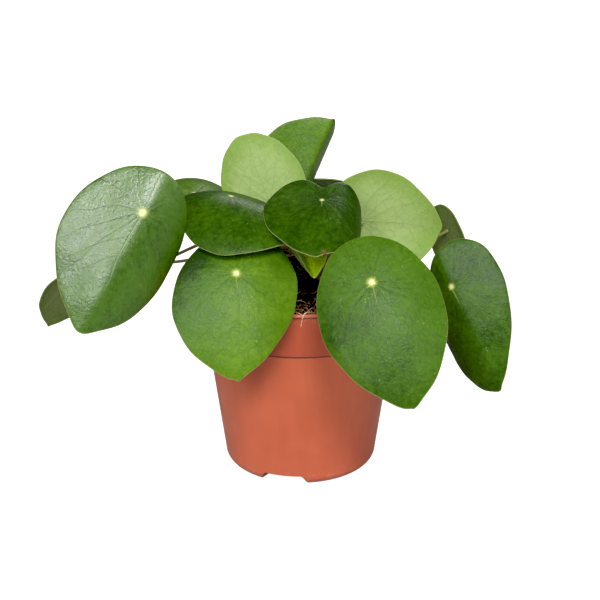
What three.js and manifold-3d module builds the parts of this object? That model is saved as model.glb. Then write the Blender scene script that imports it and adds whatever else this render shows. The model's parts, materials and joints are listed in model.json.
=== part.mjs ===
// A potted pilea: a plastic nursery pot filled with peat, a short woody trunk, and round leaves
// on long thin stalks that arch out of the trunk on every side. A stalk joins its leaf from
// below, inside the blade's outline, at the pale navel from which the veins run out.
//
// Millimetres, +Z up, and -Y is the front. All pieces are set out from the foot of the pot's
// axis, and the whole plant is then slid along the surface that it stands on until the origin
// lies below the middle of its box. Each leaf blade, each stalk, the trunk, its bud, the peat
// and the pot is a solid of its own. Nothing touches: a piece lies FIT away from its carrier.
import * as THREE from 'three';
import { mergeVertices } from 'three/addons/utils/BufferGeometryUtils.js';
import Module from 'manifold-3d';

const wasm = await Module();
wasm.setup();

const FIT = 0.3;

// The pot: a thin tapered cup with a plain band and a small bead at its rim, standing on a foot
// ring that has three low notches for the water to run out.
const POT_HEIGHT = 116;
const RIM_RADIUS = 60;
const BEAD_HEIGHT = 1.6;
const BEAD_DEPTH = 0.7;
const BAND_HEIGHT = 26.5;
const BAND_DEPTH = 1;
const WALL = 1.5;
const WALL_TOP_RADIUS = 57.7;
const FOOT_RADIUS = 45.2;
const FOOT_ROUND = 7;
const FOOT_HEIGHT = 8;
const FOOT_WIDTH = 4;
const FOOT_DRAFT = 1;
const POT_SIDES = 48;
const ROUND_STEPS = 4;
const NOTCH = { count: 3, width: 24, height: 6.8, from: 12, first: -103.5 };
const DRAIN = { count: 6, radius: 4, ring: 26, first: 15, sides: 10 };

// The corner between the pot's floor and wall, inside: how far in from the wall and how high
// above the floor each of its points lies.
const INNER_CORNER = [[4, 0], [1.5, 2], [0, 7]];

// The peat, which lies just under the rim, swells a little towards the trunk, and is lumpy: each
// lump is a wave with its height and its turns, in radians per millimetre along x and y.
const PEAT_EDGE = 112.5;
const PEAT_SWELL = 3.5;
const PEAT_RINGS = 7;
const PEAT_LUMPS = [
  { height: 0.8, x: 0.31, y: 0.27, start: 1.3 },
  { height: 0.6, x: 0.55, y: -0.43, start: 0 },
  { height: 0.5, x: -0.2, y: 0.5, start: 2 },
];

// The trunk, a little right of the middle. Its foot stands in a plain hole in the peat, and its
// growing tip is a small bud.
const TRUNK = {
  x: 13, y: 4, foot: 98, top: 147, radius: 6, tipRadius: 3.6, lean: 0.04, sides: 14, steps: 7,
};
const BUD = { radius: 2.6, height: 9, sides: 10, steps: 5 };

// The leaves: the blade's thickness and its grid, the stalk's round section, and the share of a
// stalk's span over which it keeps the direction that it starts and ends in.
const BLADE = 0.8;
const SPOKES = 24;
const RINGS = 4;
const STALK = { radius: 1, sides: 7, steps: 9 };
const ARM = 0.34;

// A waved margin rises and falls this many times round the blade.
const WAVES = 3;
const WAVE_START = 0.6;

// The blade's flat outline: where its belly lies, how round it is, how sharp its point is unless
// a leaf has its own, and how wide a notch in its base opens, in radians.
const BELLY = 0.88;
const ROUND = 0.5;
const POINT = 0.2;
const NOTCH_SPREAD = 0.3;

const radians = (degrees) => (degrees * Math.PI) / 180;

// Each leaf is set by two points in space, navel and tip. face is roughly where the top of the
// blade looks, width is its flat width, and lobe is its flat length from the navel back to the
// base edge. The bends are degrees that the blade turns down from the navel to its tip, its
// base and its left and right edges, seen from above with the tip ahead; a negative bend turns
// up. point is how sharply the blade narrows to its tip, and shear slides its right half ahead
// of its left half. crease folds both halves down along the midrib, notch is how deep the base
// edge is cut towards the navel, and wave is how far the margin rises and falls.
// root is the height on the trunk where the stalk starts, rise is the angle at which it climbs
// there, and leave is its heading there, straight towards the navel where none is given. arm is
// how far the stalk's last stretch keeps the blade's own upward direction, as a share of its
// span.
const LEAVES = [
  { name: 'front_left', navel: [-36, -62, 142], tip: [-35, -92, 89], face: [0.1, -1, 0.6],
    width: 72, lobe: 27, bend: { tip: 15, base: 25, left: 25, right: 5 }, point: 0.35, shear: 0.15,
    root: 128, rise: 50 },
  { name: 'front_right', navel: [39, -84, 145], tip: [61, -118, 84], face: [0.05, -1, 0.5],
    width: 71, lobe: 27, bend: { tip: 15, base: 5, left: 15, right: 20 }, point: 0.3,
    root: 124, rise: 50 },
  { name: 'left', navel: [-87, -66, 179], tip: [-121, -93, 118], face: [0.2, -1, 0.6],
    width: 76, lobe: 26, bend: { tip: 10, base: 5, left: 60, right: -5 }, crease: 10, point: 0.25,
    root: 137, rise: 10 },
  { name: 'far_left', navel: [-139, 10, 108], tip: [-156, 16, 79], face: [-0.6, 0.8, 0.3],
    width: 40, lobe: 18, bend: { tip: 15, base: 15, left: 15, right: 15 }, point: 0.3, shear: 0.2,
    root: 140, rise: 48, arm: 0.2 },
  { name: 'back_left', navel: [-66, 52, 153], tip: [-90, 100, 144], face: [0, 0, 1],
    width: 62, lobe: 20, bend: { tip: 30, base: 10, left: 20, right: 20 }, wave: 2,
    root: 133, rise: 30 },
  { name: 'middle_left', navel: [-40, -24, 175], tip: [4, -40, 155], face: [0.1, 0, 1],
    width: 91, lobe: 32, bend: { tip: 30, base: 30, left: 60, right: 60 }, point: 0.1,
    root: 139, rise: 20 },
  { name: 'upright_left', navel: [-18, 14, 158], tip: [-33, 24, 199], face: [0.1, 1, 0.2],
    width: 52, lobe: 13, bend: { tip: -10, base: -10, left: -10, right: -10 }, point: 0,
    shear: 0.05, root: 143, rise: 10 },
  { name: 'top', navel: [0, 32, 158], tip: [20, 50, 201], face: [0.65, -0.8, 0.2],
    width: 70, lobe: 12, bend: { tip: -10, base: 10, left: -10, right: 20 }, crease: 38, point: 0.1,
    shear: 0.05, root: 133, rise: -15, leave: 128, arm: 0.6 },
  { name: 'middle', navel: [12, -34, 176], tip: [9, -72, 156], face: [-0.1, 0, 1],
    width: 66, lobe: 25, bend: { tip: 20, base: -5, left: 95, right: 0 }, notch: 0.5, point: 0.1,
    root: 145, rise: 40 },
  { name: 'young_front', navel: [-5, -22, 143], tip: [8, -42, 132], face: [0.6, -0.5, 0.8],
    width: 40, lobe: 8, bend: { tip: -20, base: -20, left: -20, right: -20 }, crease: -40,
    root: 141, rise: 0 },
  { name: 'upright_right', navel: [37, 14, 148], tip: [85, 17, 143], face: [0, 1, 0.1],
    width: 66, lobe: 22, bend: { tip: 10, base: 0, left: 50, right: -5 }, point: 0.1, shear: -0.13,
    root: 142, rise: 10 },
  { name: 'behind_right', navel: [91, 42, 132], tip: [103, 38, 94], face: [0.7, 0.7, 0.3],
    width: 34, lobe: 18, bend: { tip: 10, base: 10, left: 15, right: 15 }, wave: 1, shear: -0.2,
    root: 127, rise: 15, leave: 75 },
  { name: 'right', navel: [88, -25, 120], tip: [117, -50, 66], face: [-0.5, -1, 0.4],
    width: 62, lobe: 22, bend: { tip: 15, base: 0, left: 5, right: 40 }, crease: 20, shear: 0.5,
    root: 128, rise: 20, leave: 15 },
  { name: 'back_middle', navel: [12, 98, 144], tip: [16, 128, 109], face: [0, 0.6, 1],
    width: 58, lobe: 20, bend: { tip: 20, base: 20, left: 20, right: 20 }, root: 135, rise: 30 },
  { name: 'back_right', navel: [42, 62, 144], tip: [64, 94, 124], face: [0.2, 0.3, 1],
    width: 54, lobe: 19, bend: { tip: 20, base: 10, left: 20, right: 20 }, root: 131, rise: 12,
    leave: 80 },
  { name: 'rear_far_left', navel: [-112, 45, 128], tip: [-134, 75, 96], face: [-0.5, 0.6, 1],
    width: 54, lobe: 19, bend: { tip: 20, base: 15, left: 15, right: 15 }, root: 127, rise: 28 },
  { name: 'rear_left', navel: [-36, 80, 134], tip: [-50, 112, 92], face: [-0.3, 1, 0.6],
    width: 60, lobe: 22, bend: { tip: 20, base: 15, left: 15, right: 15 }, root: 122, rise: 45 },
  { name: 'rear_middle', navel: [-2, 88, 120], tip: [-4, 110, 78], face: [0, 1, 0.5],
    width: 46, lobe: 18, bend: { tip: 20, base: 15, left: 15, right: 15 }, root: 122, rise: 50 },
  { name: 'rear_right', navel: [49, 76, 120], tip: [58, 102, 82], face: [0.4, 1, 0.6],
    width: 48, lobe: 18, bend: { tip: 20, base: 15, left: 15, right: 15 }, root: 122, rise: 40 },
];

// A point d along a curve that starts at an angle below the straight line and turns down by
// turn in all over span: how far forward and how far down it lies, and its angle there.
function arc(d, start, turn, span) {
  const rate = turn / span;
  const angle = start + rate * d;
  if (Math.abs(rate) < 1e-9) return { forward: d * Math.cos(start), down: d * Math.sin(start), angle };
  return {
    forward: (Math.sin(angle) - Math.sin(start)) / rate,
    down: (Math.cos(start) - Math.cos(angle)) / rate,
    angle,
  };
}

// The leaf's own axes at its navel: ahead towards the tip, right, and up out of the top side.
// A blade bent evenly by tip degrees ends half of them below the straight line to its tip.
function axesOf(leaf) {
  const navel = new THREE.Vector3(...leaf.navel);
  const chord = new THREE.Vector3(...leaf.tip).sub(navel);
  const distance = chord.length();
  const line = chord.normalize();
  const face = new THREE.Vector3(...leaf.face);
  const level = face.addScaledVector(line, -face.dot(line)).normalize();
  const half = radians(leaf.bend.tip) / 2;
  const ahead = line.clone().multiplyScalar(Math.cos(half)).addScaledVector(level, Math.sin(half));
  const up = level.clone().multiplyScalar(Math.cos(half)).addScaledVector(line, -Math.sin(half));
  const right = ahead.clone().cross(up);
  const reach = half === 0 ? distance : (distance * half) / Math.sin(half);
  return { navel, ahead, right, up, reach };
}

// A point of the blade's middle surface at u to the right of the midrib and v ahead of the
// navel, both measured along the leaf, and the direction out of its top side there.
function surfacePoint(leaf, axes, u, v) {
  const { navel, ahead, right, up, reach } = axes;
  const front = v >= 0 ? 1 : -1;
  const side = u >= 0 ? 1 : -1;
  const rib = front > 0
    ? arc(v, 0, radians(leaf.bend.tip), reach)
    : arc(-v, 0, radians(leaf.bend.base), leaf.lobe);
  const half = arc(Math.abs(u), radians(leaf.crease ?? 0),
    radians(side > 0 ? leaf.bend.right : leaf.bend.left), leaf.width / 2);
  const ribUp = up.clone().multiplyScalar(Math.cos(rib.angle))
    .addScaledVector(ahead, front * Math.sin(rib.angle));
  const position = navel.clone()
    .addScaledVector(ahead, front * rib.forward)
    .addScaledVector(up, -rib.down)
    .addScaledVector(right, side * half.forward)
    .addScaledVector(ribUp, -half.down);
  const tilt = u === 0 ? 0 : half.angle;
  const normal = ribUp.multiplyScalar(Math.cos(tilt)).addScaledVector(right, side * Math.sin(tilt));
  return { position, normal };
}

// The flat outline at an angle round the navel, from 0 at the base edge over the right side to
// half a turn at the tip: a round base and belly that narrow to a short point.
function outlinePoint(leaf, reach, turn) {
  const share = (1 - Math.cos(turn)) / 2;
  const narrowing = ROUND + (leaf.point ?? POINT) * share ** 2;
  const breadth = Math.sin(Math.PI * share ** BELLY) ** narrowing;
  const away = Math.min(turn, 2 * Math.PI - turn);
  const cut = 1 - (leaf.notch ?? 0) * Math.exp(-((away / NOTCH_SPREAD) ** 2));
  const u = Math.sign(Math.sin(turn)) * (leaf.width / 2) * breadth;
  const v = -leaf.lobe + (leaf.lobe + reach) * share + (leaf.shear ?? 0) * u;
  return { u: u * cut, v: v * cut };
}

// A blade: rings of points from the navel out to the margin on both faces, BLADE apart.
function bladeGeometry(leaf) {
  const axes = axesOf(leaf);
  const positions = [];
  const wave = leaf.wave ?? 0;
  const lift = (ring, turn) => wave * (ring / RINGS) ** 2 * Math.sin(WAVES * turn + WAVE_START);
  for (const face of [0.5, -0.5]) {
    const centre = surfacePoint(leaf, axes, 0, 0);
    positions.push(...centre.position.addScaledVector(centre.normal, face * BLADE));
    for (let ring = 1; ring <= RINGS; ring += 1) {
      for (let spoke = 0; spoke < SPOKES; spoke += 1) {
        const turn = (2 * Math.PI * spoke) / SPOKES;
        const edge = outlinePoint(leaf, axes.reach, turn);
        const share = ring / RINGS;
        const { position, normal } = surfacePoint(leaf, axes, edge.u * share, edge.v * share);
        positions.push(...position.addScaledVector(normal, face * BLADE + lift(ring, turn)));
      }
    }
  }
  const count = 1 + RINGS * SPOKES;
  const at = (side, ring, spoke) => side * count + 1 + (ring - 1) * SPOKES + (spoke % SPOKES);
  const index = [];
  for (let spoke = 0; spoke < SPOKES; spoke += 1) {
    index.push(0, at(0, 1, spoke), at(0, 1, spoke + 1));
    index.push(count, at(1, 1, spoke + 1), at(1, 1, spoke));
    for (let ring = 1; ring < RINGS; ring += 1) {
      const [a, b, c, d] = [at(0, ring, spoke), at(0, ring, spoke + 1),
        at(0, ring + 1, spoke), at(0, ring + 1, spoke + 1)];
      index.push(a, c, d, a, d, b);
      index.push(a + count, d + count, c + count, a + count, b + count, d + count);
    }
    const [top, topNext] = [at(0, RINGS, spoke), at(0, RINGS, spoke + 1)];
    const [low, lowNext] = [at(1, RINGS, spoke), at(1, RINGS, spoke + 1)];
    index.push(low, lowNext, topNext, low, topNext, top);
  }
  const geometry = new THREE.BufferGeometry();
  geometry.setAttribute('position', new THREE.Float32BufferAttribute(positions, 3));
  geometry.setIndex(index);
  geometry.computeVertexNormals();
  return geometry;
}

// A stalk: a round tube that leaves the trunk outwards, arches, and meets the blade from below.
// Under a folded blade it ends lower, where its rim still clears the two sloping halves.
function stalkGeometry(leaf) {
  const { navel, up } = axesOf(leaf);
  const fold = radians(Math.max(0, leaf.crease ?? 0));
  const below = (BLADE / 2 + FIT) / Math.cos(fold) + STALK.radius * Math.tan(fold);
  const end = navel.clone().addScaledVector(up, -below);
  const lean = TRUNK.lean * (leaf.root - TRUNK.foot);
  const middle = new THREE.Vector3(TRUNK.x + lean, TRUNK.y, leaf.root);
  const towards = Math.atan2(end.y - middle.y, end.x - middle.x);
  const heading = leaf.leave === undefined ? towards : radians(leaf.leave);
  const outwards = new THREE.Vector3(Math.cos(heading), Math.sin(heading), 0);
  const rise = radians(leaf.rise);
  const gap = trunkRadius(leaf.root) + FIT + STALK.radius * Math.abs(Math.sin(rise));
  const start = middle.clone().addScaledVector(outwards, gap);
  const arm = ARM * start.distanceTo(end);
  const first = start.clone().addScaledVector(outwards, arm * Math.cos(rise));
  first.z += arm * Math.sin(rise);
  const second = end.clone().addScaledVector(up, -(leaf.arm ?? ARM) * start.distanceTo(end));
  const path = new THREE.CubicBezierCurve3(start, first, second, end);
  const section = new THREE.Shape();
  section.absarc(0, 0, STALK.radius, 0, 2 * Math.PI, false);
  return new THREE.ExtrudeGeometry(section, {
    curveSegments: STALK.sides,
    steps: STALK.steps,
    extrudePath: path,
  });
}

// Half the trunk's thickness at a height: it narrows towards its growing tip.
function trunkRadius(height) {
  const share = (height - TRUNK.foot) / (TRUNK.top - TRUNK.foot);
  return TRUNK.radius + (TRUNK.tipRadius - TRUNK.radius) * share ** 2;
}

// A closed geometry as a solid that can be cut, and a solid as a geometry again.
function solid(geometry) {
  const plain = geometry.clone();
  plain.deleteAttribute('normal');
  plain.deleteAttribute('uv');
  const merged = mergeVertices(plain, 1e-4);
  return new wasm.Manifold(new wasm.Mesh({
    numProp: 3,
    vertProperties: new Float32Array(merged.attributes.position.array),
    triVerts: new Uint32Array(merged.index.array),
  }));
}

function geometryOf(manifold) {
  const mesh = manifold.getMesh();
  const geometry = new THREE.BufferGeometry();
  const positions = new Float32Array(mesh.vertProperties);
  geometry.setAttribute('position', new THREE.BufferAttribute(positions, 3));
  geometry.setIndex(new THREE.BufferAttribute(new Uint32Array(mesh.triVerts), 1));
  geometry.computeVertexNormals();
  return geometry;
}

// A profile of [radius, height] points turned about the Z axis.
function turned(profile, sides) {
  const lathe = new THREE.LatheGeometry(profile.map(([r, z]) => new THREE.Vector2(r, z)), sides);
  return lathe.rotateX(Math.PI / 2);
}

// The pot's outer radius at a height on the tapered wall below the band.
function wallRadius(height) {
  const share = height / (POT_HEIGHT - BAND_HEIGHT);
  return FOOT_RADIUS + (WALL_TOP_RADIUS - FOOT_RADIUS) * share;
}

// The pot's inside, from the axis over the floor and up the wall to just above the step under
// the band, moved in by a margin.
function insideProfile(margin) {
  const floor = FOOT_HEIGHT + WALL + margin;
  const step = POT_HEIGHT - BAND_HEIGHT;
  const corner = INNER_CORNER.map(([away, above]) => [
    wallRadius(floor + above) - WALL - margin - away,
    floor + above,
  ]);
  return [
    [0, floor],
    ...corner,
    [WALL_TOP_RADIUS - WALL - margin, step],
    [WALL_TOP_RADIUS + BAND_DEPTH - WALL - margin, step + WALL],
  ];
}

function potGeometry() {
  const step = POT_HEIGHT - BAND_HEIGHT;
  const roundMiddle = wallRadius(FOOT_ROUND) - FOOT_ROUND;
  const outside = [];
  for (let i = 0; i <= ROUND_STEPS; i += 1) {
    const angle = (Math.PI / 2) * (i / ROUND_STEPS);
    outside.push([roundMiddle + FOOT_ROUND * Math.sin(angle), FOOT_ROUND * (1 - Math.cos(angle))]);
  }
  const profile = [
    [0, FOOT_HEIGHT],
    [roundMiddle - FOOT_WIDTH - FOOT_DRAFT, FOOT_HEIGHT],
    [roundMiddle - FOOT_WIDTH, 0],
    ...outside,
    [WALL_TOP_RADIUS, step],
    [WALL_TOP_RADIUS + BAND_DEPTH, step],
    [RIM_RADIUS - BEAD_DEPTH, POT_HEIGHT - BEAD_HEIGHT],
    [RIM_RADIUS, POT_HEIGHT - BEAD_HEIGHT],
    [RIM_RADIUS, POT_HEIGHT],
    [RIM_RADIUS - BEAD_DEPTH - WALL, POT_HEIGHT],
    ...insideProfile(0).reverse(),
  ];
  let pot = solid(turned(profile, POT_SIDES));
  for (let i = 0; i < NOTCH.count; i += 1) {
    const cutter = new THREE.BoxGeometry(2 * FOOT_RADIUS, NOTCH.width, 2 * NOTCH.height);
    cutter.translate(FOOT_RADIUS + NOTCH.from, 0, 0);
    cutter.rotateZ(radians(NOTCH.first + (360 * i) / NOTCH.count));
    pot = pot.subtract(solid(cutter));
  }
  for (let i = 0; i < DRAIN.count; i += 1) {
    const length = 4 * FOOT_HEIGHT;
    const cutter = new THREE.CylinderGeometry(DRAIN.radius, DRAIN.radius, length, DRAIN.sides);
    cutter.rotateX(Math.PI / 2);
    cutter.translate(DRAIN.ring, 0, FOOT_HEIGHT);
    cutter.rotateZ(radians(DRAIN.first + (360 * i) / DRAIN.count));
    pot = pot.subtract(solid(cutter));
  }
  return geometryOf(pot);
}

// The peat's surface: a low swell with lumps, calmer towards the pot's wall.
function peatHeight(x, y) {
  const out = Math.min(1, Math.hypot(x, y) / RIM_RADIUS);
  let lumps = 0;
  for (const wave of PEAT_LUMPS) {
    lumps += wave.height * Math.sin(wave.x * x + wave.y * y + wave.start);
  }
  return PEAT_EDGE + PEAT_SWELL * (1 - out ** 2) + lumps * (1 - 0.5 * out);
}

function peatGeometry() {
  const profile = insideProfile(FIT);
  const edge = profile[profile.length - 1][0];
  for (let i = PEAT_RINGS; i >= 0; i -= 1) {
    profile.push([(edge * i) / PEAT_RINGS, PEAT_EDGE]);
  }
  const geometry = turned(profile, POT_SIDES);
  const position = geometry.attributes.position;
  for (let i = 0; i < position.count; i += 1) {
    if (position.getZ(i) > PEAT_EDGE - 1e-3) {
      position.setZ(i, peatHeight(position.getX(i), position.getY(i)));
    }
  }
  const hole = trunkGeometry(FIT);
  return geometryOf(solid(geometry).subtract(solid(hole)));
}

// The trunk, or the hole that it stands in when it is made thicker by a margin.
function trunkGeometry(margin) {
  const profile = [[0, TRUNK.foot - margin]];
  for (let i = 0; i <= TRUNK.steps; i += 1) {
    const height = TRUNK.foot + ((TRUNK.top - TRUNK.foot) * i) / TRUNK.steps;
    profile.push([trunkRadius(height) + margin, height - (i === 0 ? margin : 0)]);
  }
  profile.push([0, TRUNK.top + margin]);
  const geometry = turned(profile, TRUNK.sides);
  const position = geometry.attributes.position;
  for (let i = 0; i < position.count; i += 1) {
    position.setX(i, position.getX(i) + TRUNK.x + TRUNK.lean * (position.getZ(i) - TRUNK.foot));
    position.setY(i, position.getY(i) + TRUNK.y);
  }
  return geometry;
}

// The growing tip: a small bud on top of the trunk, thickest below its middle.
function budGeometry() {
  const profile = [[0, 0]];
  for (let i = 1; i < BUD.steps; i += 1) {
    const share = i / BUD.steps;
    profile.push([BUD.radius * Math.sin(Math.PI * share ** 0.6), BUD.height * share]);
  }
  profile.push([0, BUD.height]);
  const geometry = turned(profile, BUD.sides);
  const lean = TRUNK.lean * (TRUNK.top - TRUNK.foot);
  return geometry.translate(TRUNK.x + lean, TRUNK.y, TRUNK.top + FIT);
}

const group = new THREE.Group();

function add(name, geometry, color, roughness) {
  const material = new THREE.MeshStandardMaterial({ color, roughness, metalness: 0 });
  const mesh = new THREE.Mesh(geometry, material);
  mesh.name = name;
  group.add(mesh);
}

add('pot', potGeometry(), 0xb85a3c, 0.55);
add('peat', peatGeometry(), 0x2b1c12, 0.95);
add('trunk', trunkGeometry(0), 0x5a4a32, 0.8);
add('bud', budGeometry(), 0x7f9a3c, 0.6);
for (const leaf of LEAVES) {
  add(`leaf_${leaf.name}`, bladeGeometry(leaf), 0x3f7020, 0.4);
  add(`stalk_${leaf.name}`, stalkGeometry(leaf), 0x7a7a40, 0.5);
}

const centre = new THREE.Box3().setFromObject(group).getCenter(new THREE.Vector3());
group.position.set(-centre.x, -centre.y, 0);

export default group;
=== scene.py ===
import itertools
import json
import math

import bpy
import numpy as np
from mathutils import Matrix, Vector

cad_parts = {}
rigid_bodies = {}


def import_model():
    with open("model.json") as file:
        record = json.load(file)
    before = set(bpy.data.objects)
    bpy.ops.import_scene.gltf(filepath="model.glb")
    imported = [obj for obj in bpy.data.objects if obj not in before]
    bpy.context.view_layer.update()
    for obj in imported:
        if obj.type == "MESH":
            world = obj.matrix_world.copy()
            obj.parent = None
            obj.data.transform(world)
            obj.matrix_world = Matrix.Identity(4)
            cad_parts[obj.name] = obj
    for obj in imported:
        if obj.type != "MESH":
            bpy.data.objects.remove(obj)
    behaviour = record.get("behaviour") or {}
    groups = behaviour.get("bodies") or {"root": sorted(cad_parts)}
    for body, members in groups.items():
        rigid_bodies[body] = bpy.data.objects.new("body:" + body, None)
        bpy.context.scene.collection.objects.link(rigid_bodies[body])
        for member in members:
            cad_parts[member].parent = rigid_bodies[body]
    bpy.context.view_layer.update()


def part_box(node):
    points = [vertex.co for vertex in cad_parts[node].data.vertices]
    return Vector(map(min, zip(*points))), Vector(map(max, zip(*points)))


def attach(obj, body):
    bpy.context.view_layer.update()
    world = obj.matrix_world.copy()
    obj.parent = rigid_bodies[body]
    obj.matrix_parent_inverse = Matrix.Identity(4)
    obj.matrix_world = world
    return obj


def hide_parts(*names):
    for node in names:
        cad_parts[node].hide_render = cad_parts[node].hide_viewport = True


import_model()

# Camera
# The plant was photographed from the front and a little above, with a long lens. The camera is set
# out from the foot of the pot's axis, which is where the middle of the pot's box stands. The photo is
# contrasty: its deepest shade is clipped to black, which the black level does.
MM = 0.001
BLACK_LEVEL = 0.009
pot_low, pot_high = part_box("pot")
AXIS = np.array([(pot_low.x + pot_high.x) / 2, (pot_low.y + pot_high.y) / 2, 0.0])
CAMERA_FROM_AXIS = (-0.38, -932.1, 464.4)
CAMERA_LOOKS_DOWN = 21.24
CAMERA_LENS = 99.6

camera_data = bpy.data.cameras.new("camera")
camera_data.lens = CAMERA_LENS
camera_data.sensor_width = 36
camera_data.clip_end = 20
camera = bpy.data.objects.new("camera", camera_data)
camera.location = AXIS + np.array(CAMERA_FROM_AXIS) * MM
camera.rotation_euler = (math.radians(90 - CAMERA_LOOKS_DOWN), 0, 0)
bpy.context.scene.collection.objects.link(camera)
bpy.context.scene.camera = camera
view = bpy.context.scene.view_settings
view.view_transform = "Standard"
view.use_curve_mapping = True
view.curve_mapping.black_level = (BLACK_LEVEL, BLACK_LEVEL, BLACK_LEVEL)
view.curve_mapping.update()


# Pot
# A thin nursery pot, moulded in one piece from terracotta-coloured plastic with a satin skin. It
# has a plain band and a small bead at the rim, a tapered wall, and a foot ring with three low
# notches round a floor with six drain holes.
POT_HEIGHT = 116
RIM_RADIUS = 60
BEAD_DEPTH = 0.7
BEAD_FOOT = POT_HEIGHT - 1.6
BAND_DEPTH = 1
BAND_FOOT = POT_HEIGHT - 26.5
WALL = 1.5
WALL_TOP_RADIUS = 57.7
BAND_RADIUS = WALL_TOP_RADIUS + BAND_DEPTH
FOOT_RADIUS = 45.2
FOOT_ROUND = 7
FOOT_HEIGHT = 8
FOOT_WIDTH = 4
FOOT_DRAFT = 1
FLOOR = FOOT_HEIGHT + WALL
CORNER = 6
POT_COLUMNS = 360
NOTCH_COUNT = 3
NOTCH_FIRST = -103.5
NOTCH_HEIGHT = 6.8
NOTCH_HALF = 17.2
NOTCH_SLOPE = 7.5
DRAIN_COUNT = 6
DRAIN_RADIUS = 4
DRAIN_RING = 26
DRAIN_FIRST = 15
POT_CLAY = (0.550, 0.126, 0.060, 1)
POT_DEEP = (0.400, 0.080, 0.038, 1)
# Painted shade: the band's deeper colour stands in for the shadow of the leaves over it.
POT_BAND_SHADE = (0.360, 0.064, 0.030, 1)
# Painted highlight: the paler bead stands in for the light that catches its top edge.
POT_BEAD_HIGHLIGHT = (0.600, 0.200, 0.120, 1)
# Painted shade: the dark line in the creases under the band and under the bead.
POT_CREASE_SHADE = (0.120, 0.028, 0.016, 1)
POT_DUST = (0.55, 0.36, 0.27, 1)
POT_SCUFF = (0.72, 0.36, 0.24, 1)


def wall_radius(height):
    """The pot's outer radius on the tapered wall: it grows evenly from the foot to the band."""
    return FOOT_RADIUS + (WALL_TOP_RADIUS - FOOT_RADIUS) * height / BAND_FOOT


def eased(profile, steps=5):
    """A profile of (radius, height, rounding) points with each corner eased: a corner is replaced by
    the parabola that leaves one side and meets the other at the rounding's distance from it."""
    points = []
    for i, (radius, height, rounding) in enumerate(profile):
        here = np.array([radius, height], float)
        if rounding == 0 or i in (0, len(profile) - 1):
            points.append(here)
            continue
        before = np.array(profile[i - 1][:2], float) - here
        after = np.array(profile[i + 1][:2], float) - here
        start = here + before / np.linalg.norm(before) * rounding
        end = here + after / np.linalg.norm(after) * rounding
        for share in np.linspace(0, 1, steps):
            points.append((1 - share) ** 2 * start + 2 * share * (1 - share) * here + share ** 2 * end)
    return np.array(points)


def divided(points, longest):
    """The same line with points added, so that no stretch of it is longer than longest."""
    line = [points[0]]
    for start, end in zip(points[:-1], points[1:]):
        count = max(1, math.ceil(np.linalg.norm(end - start) / longest))
        line += [start + (end - start) * step / count for step in range(1, count + 1)]
    return np.array(line)


def grid_faces(rows, columns, first=0, closed=True):
    """The quads of a grid of rows by columns, which may close round its columns. They face the right
    hand side of someone who walks up the rows with the columns counted anticlockwise."""
    wide = columns if closed else columns - 1
    row, column = np.meshgrid(np.arange(rows - 1), np.arange(wide), indexing="ij")
    beside = (column + 1) % columns
    corners = (row * columns + column, row * columns + beside,
               (row + 1) * columns + beside, (row + 1) * columns + column)
    return first + np.stack(corners, -1).reshape(-1, 4)


def end_fans(rows, columns):
    """The triangles that close the first and the last row of such a grid, each round a point of its
    own. The two points follow those of the grid."""
    column = np.arange(columns)
    beside = (column + 1) % columns
    last = (rows - 1) * columns
    return np.concatenate([
        np.stack([np.full(columns, rows * columns), beside, column], -1),
        np.stack([np.full(columns, rows * columns + 1), last + column, last + beside], -1),
    ])


def piece_from(name, points, *faces):
    """A smooth mesh from points in millimetres about the pot's axis, moved to where the axis stands
    in the frame. faces are arrays with a row of point numbers for each face."""
    mesh = bpy.data.meshes.new(name)
    mesh.from_pydata((points * MM + AXIS).tolist(), [], [row for kind in faces for row in kind.tolist()])
    mesh.shade_smooth()
    made = bpy.data.objects.new(name, mesh)
    bpy.context.scene.collection.objects.link(made)
    return made


def turned(profile, columns):
    """Points and faces of a profile of (radius, height) turned about the upright axis. Its first and
    last point lie on the axis, where the rows close in a fan of triangles."""
    turn = 2 * np.pi * np.arange(columns) / columns
    ring = np.stack([np.cos(turn), np.sin(turn)], -1)
    rows = profile[1:-1]
    height = np.broadcast_to(rows[:, 1:, None], (len(rows), columns, 1))
    body = np.concatenate([rows[:, :1, None] * ring, height], -1)
    ends = [[0, 0, profile[0, 1]], [0, 0, profile[-1, 1]]]
    points = np.concatenate([body.reshape(-1, 3), ends])
    return points, grid_faces(len(rows), columns), end_fans(len(rows), columns)


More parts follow.
